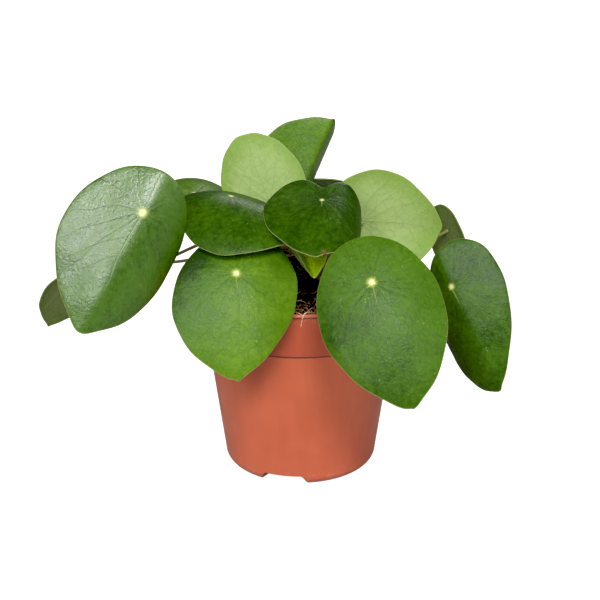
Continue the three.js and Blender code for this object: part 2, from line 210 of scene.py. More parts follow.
def pot_points():
    """The pot's profile turned about its axis, with its foot lifted at each notch: there every point
    rises at least to the notch's roof, whose height swells from nothing by a smooth step."""
    round_middle = wall_radius(FOOT_ROUND) - FOOT_ROUND
    foot = [(0, FOOT_HEIGHT, 0), (round_middle - FOOT_WIDTH - FOOT_DRAFT, FOOT_HEIGHT, 0.8),
            (round_middle - FOOT_WIDTH, 0, 0.6)]
    foot += [(round_middle + FOOT_ROUND * math.sin(angle), FOOT_ROUND * (1 - math.cos(angle)), 0)
             for angle in np.linspace(0, np.pi / 2, 13)]
    rim = [(WALL_TOP_RADIUS, BAND_FOOT, 0.3), (BAND_RADIUS, BAND_FOOT, 0.4),
           (RIM_RADIUS - BEAD_DEPTH, BEAD_FOOT, 0.25), (RIM_RADIUS, BEAD_FOOT, 0.45),
           (RIM_RADIUS, POT_HEIGHT, 0.6), (RIM_RADIUS - BEAD_DEPTH - WALL, POT_HEIGHT, 0.5)]
    inside = [(BAND_RADIUS - WALL, BAND_FOOT + WALL, 0.8), (WALL_TOP_RADIUS - WALL, BAND_FOOT, 0.6),
              (wall_radius(FLOOR + CORNER) - WALL, FLOOR + CORNER, 2.5),
              (wall_radius(FLOOR) - WALL - CORNER / 2, FLOOR, 2.5), (0, FLOOR, 0)]
    points, quads, fans = turned(divided(eased(foot + rim + inside), 2.5), POT_COLUMNS)
    turn = np.degrees(np.arctan2(points[:, 1], points[:, 0]))
    pitch = 360 / NOTCH_COUNT
    away = np.abs((turn - NOTCH_FIRST + pitch / 2) % pitch - pitch / 2)
    share = np.clip((NOTCH_HALF + NOTCH_SLOPE / 2 - away) / NOTCH_SLOPE, 0, 1)
    roof = NOTCH_HEIGHT * share ** 2 * (3 - 2 * share)
    reach = np.hypot(points[:, 0], points[:, 1])
    low = (points[:, 2] < roof) & (reach > DRAIN_RING)
    points[:, 2] = np.where(low, roof, points[:, 2])
    return points, quads, fans


def drained(pot):
    """The pot with its drain holes cut through the floor by one Boolean, which is then applied."""
    cutters = bpy.data.collections.new("drains")
    for angle in np.radians(DRAIN_FIRST + 360 * np.arange(DRAIN_COUNT) / DRAIN_COUNT):
        middle = np.array([math.cos(angle) * DRAIN_RING, math.sin(angle) * DRAIN_RING, FOOT_HEIGHT])
        bpy.ops.mesh.primitive_cylinder_add(vertices=24, radius=DRAIN_RADIUS * MM, depth=4 * WALL * MM,
                                            location=AXIS + middle * MM)
        cutter = bpy.context.object
        for home in cutter.users_collection:
            home.objects.unlink(cutter)
        cutters.objects.link(cutter)
    cut = pot.modifiers.new("drains", "BOOLEAN")
    cut.operation = "DIFFERENCE"
    cut.operand_type = "COLLECTION"
    cut.collection = cutters
    cut.solver = "EXACT"
    bpy.context.view_layer.update()
    shape = bpy.data.meshes.new_from_object(pot.evaluated_get(bpy.context.evaluated_depsgraph_get()))
    pot.modifiers.clear()
    pot.data = shape
    for cutter in list(cutters.objects):
        bpy.data.objects.remove(cutter)
    bpy.data.collections.remove(cutters)
    return pot


def add_node(tree, kind, inputs=None, **options):
    """A shader node with its options set. Each input is linked if it is a field or a socket, or else
    set to the value."""
    made = tree.nodes.new(kind)
    for name, value in options.items():
        setattr(made, name, value)
    for name, value in (inputs or {}).items():
        value = getattr(value, "socket", value)
        if isinstance(value, bpy.types.NodeSocket):
            tree.links.new(value, made.inputs[name])
        else:
            made.inputs[name].default_value = value
    return made


class Field:
    """What varies over a surface: one output of a shader node, which may be a number, a colour or a
    direction. Sums on number fields are written like any other, and add the nodes that do them."""

    def __init__(self, node, output=0):
        self.tree = node.id_data
        self.socket = node.outputs[output]

    def calculate(self, operation, *others):
        values = dict(enumerate([self, *others]))
        return Field(add_node(self.tree, "ShaderNodeMath", values, operation=operation))

    def __add__(self, other):
        return self.calculate("ADD", other)

    def __sub__(self, other):
        return self.calculate("SUBTRACT", other)

    def __mul__(self, other):
        return self.calculate("MULTIPLY", other)

    def __truediv__(self, other):
        return self.calculate("DIVIDE", other)

    def __abs__(self):
        return self.calculate("ABSOLUTE")


def between(value, low, high, to_low=0.0, to_high=1.0):
    """value carried smoothly from the range low to high over to another range, and held there."""
    inputs = {"Value": value, "From Min": low, "From Max": high, "To Min": to_low, "To Max": to_high}
    return Field(add_node(value.tree, "ShaderNodeMapRange", inputs, interpolation_type="SMOOTHSTEP"))


def tinted(share, under, over):
    """The colour under with the colour over laid on it, where share says so."""
    return Field(add_node(share.tree, "ShaderNodeMix", {0: share, 6: under, 7: over}, data_type="RGBA"), 2)


def noise(place, scale, detail=3.0, roughness=0.55):
    """Cloudy noise from 0 to 1, with scale blobs in a metre."""
    inputs = {"Vector": place, "Scale": scale, "Detail": detail, "Roughness": roughness}
    return Field(add_node(place.tree, "ShaderNodeTexNoise", inputs), "Fac")


def stretched(place, scale):
    """Coordinates scaled by a different amount along each axis."""
    return Field(add_node(place.tree, "ShaderNodeMapping", {"Vector": place, "Scale": scale}))


def along_axis(place, axis):
    """One coordinate of a place."""
    return Field(add_node(place.tree, "ShaderNodeSeparateXYZ", {"Vector": place}), axis)


def bump(height, depth, normal=None):
    """The surface's normal over a relief of that depth in millimetres, on top of another normal."""
    inputs = {"Height": height, "Distance": depth * MM}
    if normal is not None:
        inputs["Normal"] = normal
    return Field(add_node(height.tree, "ShaderNodeBump", inputs))


def new_material(name):
    """An empty material, and the object coordinates in it."""
    material = bpy.data.materials.new(name)
    material.use_nodes = True
    material.node_tree.nodes.clear()
    return material, Field(add_node(material.node_tree, "ShaderNodeTexCoord"), "Object")


def finished(material, colour, roughness, normal, specular=0.5, through=0):
    """The material with its Principled shader, mixed with that share of light from the other side."""
    tree = material.node_tree
    inputs = {"Base Color": colour, "Roughness": roughness, "Normal": normal, "Specular IOR Level": specular}
    surface = add_node(tree, "ShaderNodeBsdfPrincipled", inputs).outputs[0]
    if through:
        shone = add_node(tree, "ShaderNodeBsdfTranslucent", {"Color": colour, "Normal": normal}).outputs[0]
        surface = add_node(tree, "ShaderNodeMixShader", {0: through, 1: surface, 2: shone}).outputs[0]
    add_node(tree, "ShaderNodeOutputMaterial", {"Surface": surface})
    return material


def pot_material():
    """Satin plastic: slow clouds and faint upright flow streaks in two tones, a band painted deeper as
    painted shade of the leaves above it, a painted highlight on the bead, painted shade in the creases
    under both, a little peat dust at the rim and the foot, fine scuffs that dull the gloss, and the
    skin's faint ripple."""
    material, place = new_material("pot_plastic")
    height = along_axis(place, "Z") / MM
    clouds = noise(place, 22, 4)
    streaks = noise(stretched(place, (110, 110, 7)), 1)
    colour = tinted(between(clouds * 0.7 + streaks * 0.3, 0.3, 0.75, 0, 0.6), POT_CLAY, POT_DEEP)
    # The band is painted deeper: painted shade from the leaves that hang over it.
    colour = tinted(between(height, BAND_FOOT - 0.5, BAND_FOOT + 0.5, 0, 0.8), colour, POT_BAND_SHADE)
    # A painted highlight along the top of the bead.
    colour = tinted(between(height, BEAD_FOOT - 0.1, BEAD_FOOT + 0.4, 0, 0.5), colour, POT_BEAD_HIGHLIGHT)
    # Painted shade: a dark line in the crease under the band and another under the bead.
    groove = abs(height - (BAND_FOOT - 0.4))
    under_bead = abs(height - (BEAD_FOOT - 0.5))
    crease = between(groove.calculate("MINIMUM", under_bead), 0.9, 0.3, 0, 0.85)
    colour = tinted(crease, colour, POT_CREASE_SHADE)
    rim_dust = between(height, POT_HEIGHT - 7.5, POT_HEIGHT + 0.5)
    foot_dust = between(height, 12, 2)
    grit = between(noise(place, 420, 5, 0.7), 0.5, 0.72)
    dust = rim_dust.calculate("MAXIMUM", foot_dust) * grit
    colour = tinted(dust * 0.55, colour, POT_DUST)
    scuffs = between(noise(stretched(place, (900, 900, 260)), 1, 6, 0.75), 0.6, 0.75)
    colour = tinted(scuffs * 0.14, colour, POT_SCUFF)
    roughness = between(clouds, 0.3, 0.7, 0.34, 0.42) + scuffs.calculate("MAXIMUM", dust) * 0.22
    normal = bump(noise(stretched(place, (60, 60, 18)), 1, 2), 0.12)
    normal = bump(noise(place, 2600, 2), 0.01, normal)
    return finished(material, colour, roughness, normal, 0.35)


pot_shell = drained(piece_from("pot_shell", *pot_points()))
pot_shell.data.materials.append(pot_material())
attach(pot_shell, "root")
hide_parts("pot")


# Peat
# Dark brown potting peat, filled to just under the rim and pressed lightly by hand. Loose crumbs and
# reddish coir fibres lie on it, and one thin root has grown over the rim at the front.
PEAT_GAP = 0.3
PEAT_EDGE = 112.5
PEAT_SWELL = 3.5
PEAT_RINGS = 64
PEAT_COLUMNS = 220
PEAT_LUMPS = [(0.8, 0.31, 0.27, 1.3), (0.6, 0.55, -0.43, 0), (0.5, -0.2, 0.5, 2)]
CRUMBS = 900
CRUMB_REACH = 55.5
FIBRES = 110
MAT_FIBRES = 560
FIBRE_REACH = 57
FIBRE_STATIONS = 10
FIBRE_SIDES = 5
PEAT_DARK = (0.005, 0.003, 0.002, 1)
PEAT_WARM = (0.020, 0.011, 0.006, 1)
CRUMB_WARM = (0.060, 0.032, 0.017, 1)
FIBRE_DARK = (0.13, 0.055, 0.024, 1)
FIBRE_TAN = (0.60, 0.32, 0.16, 1)
ROOT_TAN = (0.62, 0.32, 0.19, 1)
ROOT_PALE = (0.85, 0.50, 0.32, 1)


def ripple(x, y, size, seed):
    """Smooth random relief from -1 to 1: random heights on a square lattice of that size, joined
    across each square by smooth steps."""
    lattice = np.random.default_rng(seed).uniform(-1, 1, (64, 64))
    column, row = np.floor(x / size).astype(int), np.floor(y / size).astype(int)
    across, along = x / size - column, y / size - row
    across, along = across ** 2 * (3 - 2 * across), along ** 2 * (3 - 2 * along)
    column, row = column % 64, row % 64
    right, above = (column + 1) % 64, (row + 1) % 64
    near = lattice[row, column] * (1 - across) + lattice[row, right] * across
    far = lattice[above, column] * (1 - across) + lattice[above, right] * across
    return near * (1 - along) + far * along


def peat_height(x, y):
    """The peat's surface: a low swell towards the middle, three long waves that calm down towards
    the wall, and crumbly relief in three finer sizes."""
    out = np.clip(np.hypot(x, y) / RIM_RADIUS, 0, 1)
    lumps = sum(height * np.sin(kx * x + ky * y + start) for height, kx, ky, start in PEAT_LUMPS)
    crumbly = 0.7 * ripple(x, y, 5.0, 11) + 0.45 * ripple(x, y, 2.4, 12) + 0.3 * ripple(x, y, 1.2, 13)
    return PEAT_EDGE + PEAT_SWELL * (1 - out ** 2) + lumps * (1 - 0.5 * out) + crumbly * (1 - 0.6 * out ** 6)


def peat_points():
    """The peat as one closed body: the pot's inside profile, a gap smaller, turned about the axis,
    with its lid raised to the peat's surface."""
    floor = FLOOR + PEAT_GAP
    inside = WALL + PEAT_GAP
    edge = BAND_RADIUS - inside
    profile = [(0, floor, 0), (wall_radius(floor) - inside - CORNER / 2, floor, 2),
               (wall_radius(floor + CORNER) - inside, floor + CORNER, 2),
               (WALL_TOP_RADIUS - inside, BAND_FOOT, 0), (edge, BAND_FOOT + WALL, 0),
               (edge, PEAT_EDGE - 1, 0)]
    lid = [(edge * i / PEAT_RINGS, PEAT_EDGE, 0) for i in range(PEAT_RINGS, -1, -1)]
    points, quads, fans = turned(eased(profile + lid), PEAT_COLUMNS)
    on_lid = points[:, 2] > PEAT_EDGE - 0.01
    points[:, 2] = np.where(on_lid, peat_height(points[:, 0], points[:, 1]), points[:, 2])
    return points, quads, fans


def crumb_points():
    """Loose crumbs on the peat: copies of a twenty-sided ball, each with its own size, flatness,
    turn and dents, half sunk in the surface."""
    draw = np.random.default_rng(21)
    golden = (1 + 5 ** 0.5) / 2
    ball = np.array([(0, a, b * golden) for a in (-1, 1) for b in (-1, 1)])
    ball = np.concatenate([ball, np.roll(ball, 1, 1), np.roll(ball, 2, 1)]) / math.hypot(1, golden)
    faces = []
    for numbers in itertools.combinations(range(12), 3):
        a, b, c = ball[list(numbers)]
        if max(np.linalg.norm(side) for side in (a - b, b - c, a - c)) < 1.1:
            outwards = np.cross(b - a, c - a) @ a > 0
            faces.append(numbers if outwards else (numbers[0], numbers[2], numbers[1]))
    reach = CRUMB_REACH * np.sqrt(draw.uniform(0, 1, CRUMBS))
    turn = draw.uniform(0, 2 * np.pi, CRUMBS)
    x, y = reach * np.cos(turn), reach * np.sin(turn)
    size = draw.uniform(0.35, 1.0, CRUMBS) ** 1.5 * 1.7
    ranges = ((0.7, 1.3), (0.6, 1.1), (0.4, 0.8))
    shape = np.stack([draw.uniform(low, high, CRUMBS) for low, high in ranges], -1)
    dents = draw.uniform(0.75, 1.2, (CRUMBS, 12, 1))
    local = ball[None] * dents * (size[:, None] * shape)[:, None]
    spin = draw.uniform(0, 2 * np.pi, CRUMBS)[:, None]
    turned_x = local[..., 0] * np.cos(spin) - local[..., 1] * np.sin(spin)
    turned_y = local[..., 0] * np.sin(spin) + local[..., 1] * np.cos(spin)
    height = peat_height(x, y) + 0.25 * size
    points = np.stack([x[:, None] + turned_x, y[:, None] + turned_y, height[:, None] + local[..., 2]], -1)
    numbers = (12 * np.arange(CRUMBS))[:, None, None] + np.array(faces)
    tones = np.repeat(draw.uniform(-0.25, 0.35, CRUMBS), 12)
    return points.reshape(-1, 3), numbers.reshape(-1, 3), tones


def tubes(paths, radii, sides):
    """Round tubes along many paths at once. paths is an array of tubes by stations by three, and
    radii one of tubes by stations. The section stands square to the path, on two directions that
    are worked out from the path's direction and one sideways direction for each tube, and each
    end closes in a fan round a point of its own. The rings run the other way round than those of a
    turned body, so the faces are turned over to point outwards."""
    count, stations = paths.shape[:2]
    along = unit(np.gradient(paths, axis=1))
    sideways = np.cross(paths[:, -1:] - paths[:, :1], [0, 0, 1.0])
    weak = np.linalg.norm(sideways, axis=-1, keepdims=True) < 1e-6
    sideways = np.where(weak, [1.0, 0, 0], sideways)
    over = unit(np.cross(sideways, along))
    beside = np.cross(along, over)
    turn = 2 * np.pi * np.arange(sides) / sides
    ring = np.cos(turn)[:, None] * beside[:, :, None] + np.sin(turn)[:, None] * over[:, :, None]
    body = paths[:, :, None] + ring * radii[:, :, None, None]
    points = np.concatenate([body.reshape(count, -1, 3), paths[:, :1], paths[:, -1:]], 1)
    shift = (points.shape[1] * np.arange(count))[:, None, None]
    quads = shift + grid_faces(stations, sides)[:, ::-1]
    fans = shift + end_fans(stations, sides)[:, ::-1]
    return points.reshape(-1, 3), quads.reshape(-1, 4), fans.reshape(-1, 3)


def unit(vector):
    """The same direction at a length of one."""
    return vector / np.linalg.norm(vector, axis=-1, keepdims=True)


def fibre_paths(count, seed, nearest, furthest, longest, highest):
    """Coir fibres on the peat between two distances from the pot's axis: each runs level along a
    bent line and lifts off the surface in the middle of its length, where it also tilts."""
    draw = np.random.default_rng(seed)
    reach = np.sqrt(draw.uniform(nearest ** 2, furthest ** 2, count))
    turn = draw.uniform(0, 2 * np.pi, count)
    heading = (turn + np.pi / 2 + draw.normal(0, 0.6, count))[:, None]
    length = draw.uniform(0.3, 1, count)[:, None] * longest
    bend = draw.normal(0, 0.9, count)[:, None]
    lift = draw.uniform(0.1, 1, count)[:, None] * highest
    tilt = draw.uniform(-0.5, 0.5, count)[:, None] * highest
    share = np.linspace(-0.5, 0.5, FIBRE_STATIONS)
    ahead = length * share
    aside = bend * length * (share ** 2 - 0.25)
    x = (reach * np.cos(turn))[:, None] + ahead * np.cos(heading) - aside * np.sin(heading)
    y = (reach * np.sin(turn))[:, None] + ahead * np.sin(heading) + aside * np.cos(heading)
    pull = np.minimum(1, (FIBRE_REACH + 0.1) / np.hypot(x, y))
    x, y = x * pull, y * pull
    raised = np.maximum(0, lift * (1 - (2 * share) ** 2) + tilt * share)
    radii = draw.uniform(0.07, 0.17, count)[:, None] * (1 - 0.7 * np.abs(2 * share) ** 3)
    return np.stack([x, y, peat_height(x, y) + 0.15 + raised], -1), radii


def smooth_path(points, stations):
    """A line through a few points, eased between them: each coordinate follows the points along the
    line's length, then a running mean over a tenth of the line rounds its corners."""
    points = np.array(points, float)
    travel = np.concatenate([[0], np.cumsum(np.linalg.norm(np.diff(points, axis=0), axis=1))])
    at = np.linspace(0, travel[-1], 8 * stations)
    line = np.stack([np.interp(at, travel, points[:, axis]) for axis in range(3)], -1)
    width = max(3, len(at) // 10) | 1
    padded = np.concatenate([np.repeat(line[:1], width // 2, 0), line, np.repeat(line[-1:], width // 2, 0)])
    mean = np.stack([np.convolve(padded[:, axis], np.ones(width) / width, "valid") for axis in range(3)], -1)
    return mean[np.linspace(0, len(mean) - 1, stations).astype(int)]


def write_value(piece, name, values):
    """Stores one number for each point of the mesh, or the same for all, under a name that the
    material can read."""
    stored = piece.data.attributes.new(name, "FLOAT", "POINT")
    each = np.broadcast_to(values, len(piece.data.vertices))
    stored.data.foreach_set("value", np.array(each, np.float32))


def read_value(material, name):
    """That number, as a field."""
    return Field(add_node(material.node_tree, "ShaderNodeAttribute", attribute_name=name), "Fac")


def peat_material(name, warm, shine):
    """Moist peat: warm and dark brown mixed grain by grain, rough, with a little wet shine."""
    material, place = new_material(name)
    grain = noise(place, 900, 6, 0.7)
    tone = grain * 0.8 + noise(place, 90) * 0.4 + read_value(material, "tone")
    colour = tinted(between(tone, 0.5, 1.0), PEAT_DARK, warm)
    return finished(material, colour, between(grain, 0.4, 0.7, shine, 0.95), bump(grain, 0.9), 0.15)


def fibre_material(name, dark, pale, roughness):
    """A dry plant fibre: two tones in short lengths, and a fine grain."""
    material, place = new_material(name)
    colour = tinted(between(noise(place, 350, 4, 0.6), 0.35, 0.65), dark, pale)
    return finished(material, colour, roughness, bump(noise(place, 3000), 0.08))


peat_fill = piece_from("peat_fill", *peat_points())
write_value(peat_fill, "tone", 0)
peat_fill.data.materials.append(peat_material("peat", PEAT_WARM, 0.6))
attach(peat_fill, "root")
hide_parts("peat")

crumb_places, crumb_faces, crumb_tones = crumb_points()
peat_crumbs = piece_from("peat_crumbs", crumb_places, crumb_faces)
write_value(peat_crumbs, "tone", crumb_tones)
peat_crumbs.data.materials.append(peat_material("peat_crumb", CRUMB_WARM, 0.65))
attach(peat_crumbs, "root")

loose = fibre_paths(FIBRES, seed=31, nearest=20, furthest=FIBRE_REACH, longest=15, highest=1.4)
matted = fibre_paths(MAT_FIBRES, seed=32, nearest=50.5, furthest=FIBRE_REACH, longest=11, highest=3.6)
fibre_lines, fibre_radii = (np.concatenate(both) for both in zip(loose, matted))
coir_fibres = piece_from("coir_fibres", *tubes(fibre_lines, fibre_radii, FIBRE_SIDES))
coir_fibres.data.materials.append(fibre_material("coir", FIBRE_DARK, FIBRE_TAN, 0.75))
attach(coir_fibres, "root")

ROOT_OVER_RIM = [(5.0, -54.0, 115.2), (3.6, -56.6, 116.6), (2.2, -58.8, 116.5), (1.2, -60.4, 115.6),
                 (0.8, -60.5, 113.6), (0.5, -60.2, 111.4), (0.2, -59.9, 109.8), (0.3, -59.75, 108.5)]
ROOT_FORK = [(-2.4, -55.5, 115.6), (-1.0, -57.8, 116.6), (0.2, -59.6, 116.5), (1.2, -60.45, 115.4),
             (1.9, -60.5, 114.4)]
ROOT_RADII = [(0.45, 0.22), (0.32, 0.14)]
ROOT_STATIONS = 26
ROOT_SIDES = 7
root_lines = np.stack([smooth_path(points, ROOT_STATIONS) for points in (ROOT_OVER_RIM, ROOT_FORK)])
root_radii = np.stack([np.linspace(*ends, ROOT_STATIONS) for ends in ROOT_RADII])
rim_root = piece_from("rim_root", *tubes(root_lines, root_radii, ROOT_SIDES))
rim_root.data.materials.append(fibre_material("root", ROOT_TAN, ROOT_PALE, 0.6))
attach(rim_root, "root")


# Trunk
# The plant's short stem: woody and brown below, greener towards its tip, with a scar where each old
# leaf has dropped. It leans a little to the right and stands in the peat.
TRUNK_X, TRUNK_Y = 13, 4
TRUNK_FOOT, TRUNK_TOP = 98, 147
TRUNK_RADIUS, TRUNK_TIP_RADIUS = 6, 3.6
TRUNK_DOME = 1.2
TRUNK_LEAN = 0.04
TRUNK_COLUMNS, TRUNK_ROWS = 72, 130
SCARS = 26
SCAR_LOWEST, SCAR_HIGHEST = TRUNK_FOOT + 14, TRUNK_TOP - 3
SCAR_TURN = 2.4
BARK_BROWN = (0.115, 0.062, 0.030, 1)
BARK_PALE = (0.30, 0.205, 0.115, 1)
BARK_GREEN = (0.16, 0.20, 0.055, 1)
BARK_SCAR = (0.36, 0.26, 0.15, 1)


def trunk_radius(height):
    """Half the trunk's thickness: it narrows with the square of the height above its foot."""
    share = (height - TRUNK_FOOT) / (TRUNK_TOP - TRUNK_FOOT)
    return TRUNK_RADIUS + (TRUNK_TIP_RADIUS - TRUNK_RADIUS) * share ** 2


def trunk_points():
    """The trunk as a turned body whose radius swells at each scar: a low round bump with a dent in
    its middle, set a golden angle from the scar below, over bark that is rough in two finer sizes."""
    heights = np.linspace(TRUNK_FOOT, TRUNK_TOP - TRUNK_DOME, TRUNK_ROWS)
    sides = np.stack([trunk_radius(heights), heights], -1)
    dome = [(trunk_radius(TRUNK_TOP) * math.cos(a), TRUNK_TOP + TRUNK_DOME * (math.sin(a) - 1))
            for a in np.radians((20, 40, 60, 78))]
    profile = np.concatenate([[(0, TRUNK_FOOT)], sides, dome, [(0, TRUNK_TOP)]])
    points, quads, fans = turned(profile, TRUNK_COLUMNS)
    turn = np.arctan2(points[:, 1], points[:, 0])
    height = points[:, 2]
    swell = 0
    scar = 0
    for i in range(SCARS):
        middle = SCAR_LOWEST + (SCAR_HIGHEST - SCAR_LOWEST) * i / (SCARS - 1)
        aside = (turn - SCAR_TURN * i + np.pi) % (2 * np.pi) - np.pi
        near = np.hypot(aside * trunk_radius(middle), (height - middle) * 1.25)
        swell = swell + 0.75 * np.exp(-(near / 2.0) ** 2) - 0.6 * np.exp(-(near / 0.9) ** 2)
        scar = np.maximum(scar, np.exp(-(near / 1.2) ** 2))
    furrows = 0.22 * ripple(turn * 6, height, 1.6, 41) + 0.12 * ripple(turn * 12, height, 0.8, 42)
    reach = np.hypot(points[:, 0], points[:, 1])
    grow = 1 + np.where(reach > 0.5, (swell + furrows) / np.maximum(reach, 0.5), 0)
    points[:, 0] = points[:, 0] * grow + TRUNK_X + TRUNK_LEAN * (height - TRUNK_FOOT)
    points[:, 1] = points[:, 1] * grow + TRUNK_Y
    return points, quads, fans, scar


def trunk_material():
    """Corky bark: brown with pale flecks, paler in the scars, green showing through near the tip."""
    material, place = new_material("trunk_bark")
    height = along_axis(place, "Z") / MM
    flecks = noise(stretched(place, (1300, 1300, 420)), 1, 5, 0.65)
    colour = tinted(between(flecks, 0.42, 0.68), BARK_BROWN, BARK_PALE)
    colour = tinted(between(height, TRUNK_TOP - 27, TRUNK_TOP - 1, 0, 0.8), colour, BARK_GREEN)
    colour = tinted(read_value(material, "scar") * 0.7, colour, BARK_SCAR)
    return finished(material, colour, 0.72, bump(flecks, 0.5))


trunk_places, trunk_quads, trunk_fans, trunk_scars = trunk_points()
trunk_stem = piece_from("trunk_stem", trunk_places, trunk_quads, trunk_fans)
write_value(trunk_stem, "scar", trunk_scars)
trunk_stem.data.materials.append(trunk_material())
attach(trunk_stem, "root")
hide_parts("trunk")


# Bud
# The growing tip on top of the trunk: a few pointed young scales, still folded round each other,
# with the folded edge of the next leaf between them.
BUD_RADIUS = 2.6
BUD_HEIGHT = 9
BUD_SCALES = 5
BUD_GAP = 0.3
BUD_THICK = 0.35
BUD_BROWN = (0.26, 0.20, 0.08, 1)
BUD_GREEN = (0.28, 0.42, 0.07, 1)
BUD_RIB = (0.42, 0.54, 0.16, 1)


def bud_points():
    """Each scale is a sheet of height by breadth wrapped round the bud's axis: its radius follows a
    sine of the height, wider below the middle, and its breadth narrows to a point at the top. The
    inner face is the same sheet, a thickness nearer the axis, joined to the outer round the edge."""
    rise = np.linspace(0, 1, 15)[:, None]
    breadth = np.linspace(-1, 1, 11)[None]
    wide = 1.15 * np.sqrt(np.clip(1 - rise ** 2.2, 0, 1)) + 0.02
    sheets = []
    for i in range(BUD_SCALES):
        turn = SCAR_TURN * i + breadth * wide
        height = TRUNK_TOP + BUD_GAP + BUD_HEIGHT * (0.98 - 0.09 * i) * rise + 0 * turn
        reach = (BUD_RADIUS - 0.12 * (BUD_SCALES - i)) * np.sin(np.pi * (0.12 + 0.86 * rise) ** 0.6)
        reach = reach * (1 - 0.12 * breadth ** 2) + 0.25
        for face in (0, BUD_THICK):
            across = np.maximum(reach - face, 0.05)
            sheets.append(np.stack([across * np.cos(turn), across * np.sin(turn), height], -1).reshape(-1, 3))
    points = np.concatenate(sheets)
    points[:, 0] += TRUNK_X + TRUNK_LEAN * (TRUNK_TOP - TRUNK_FOOT)
    points[:, 1] += TRUNK_Y
    rows, columns = len(rise), breadth.shape[1]
    size = rows * columns
    outer = grid_faces(rows, columns, closed=False)
    edge = np.concatenate([np.arange(columns), columns * np.arange(1, rows) + columns - 1,
                           (rows - 1) * columns + np.arange(columns - 2, -1, -1),
                           columns * np.arange(rows - 2, 0, -1)])
    after = np.roll(edge, -1)
    joined = np.stack([edge + size, after + size, after, edge], -1)
    one = np.concatenate([outer, outer[:, ::-1] + size, joined])
    shift = (2 * size * np.arange(BUD_SCALES))[:, None, None]
    return points, (shift + one).reshape(-1, 4)


def bud_material():
    """Young tissue: yellow-green, browner at the foot, with fine upright ribs."""
    material, place = new_material("bud_green")
    height = along_axis(place, "Z") / MM
    ribs = noise(stretched(place, (1800, 1800, 260)), 1)
    colour = tinted(between(height, TRUNK_TOP - 0.5, TRUNK_TOP + 5), BUD_BROWN, BUD_GREEN)
    colour = tinted(between(ribs, 0.4, 0.7, 0, 0.5), colour, BUD_RIB)
    return finished(material, colour, 0.42, bump(ribs, 0.2))


bud_scales = piece_from("bud_scales", *bud_points())
bud_scales.data.materials.append(bud_material())
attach(bud_scales, "root")
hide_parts("bud")
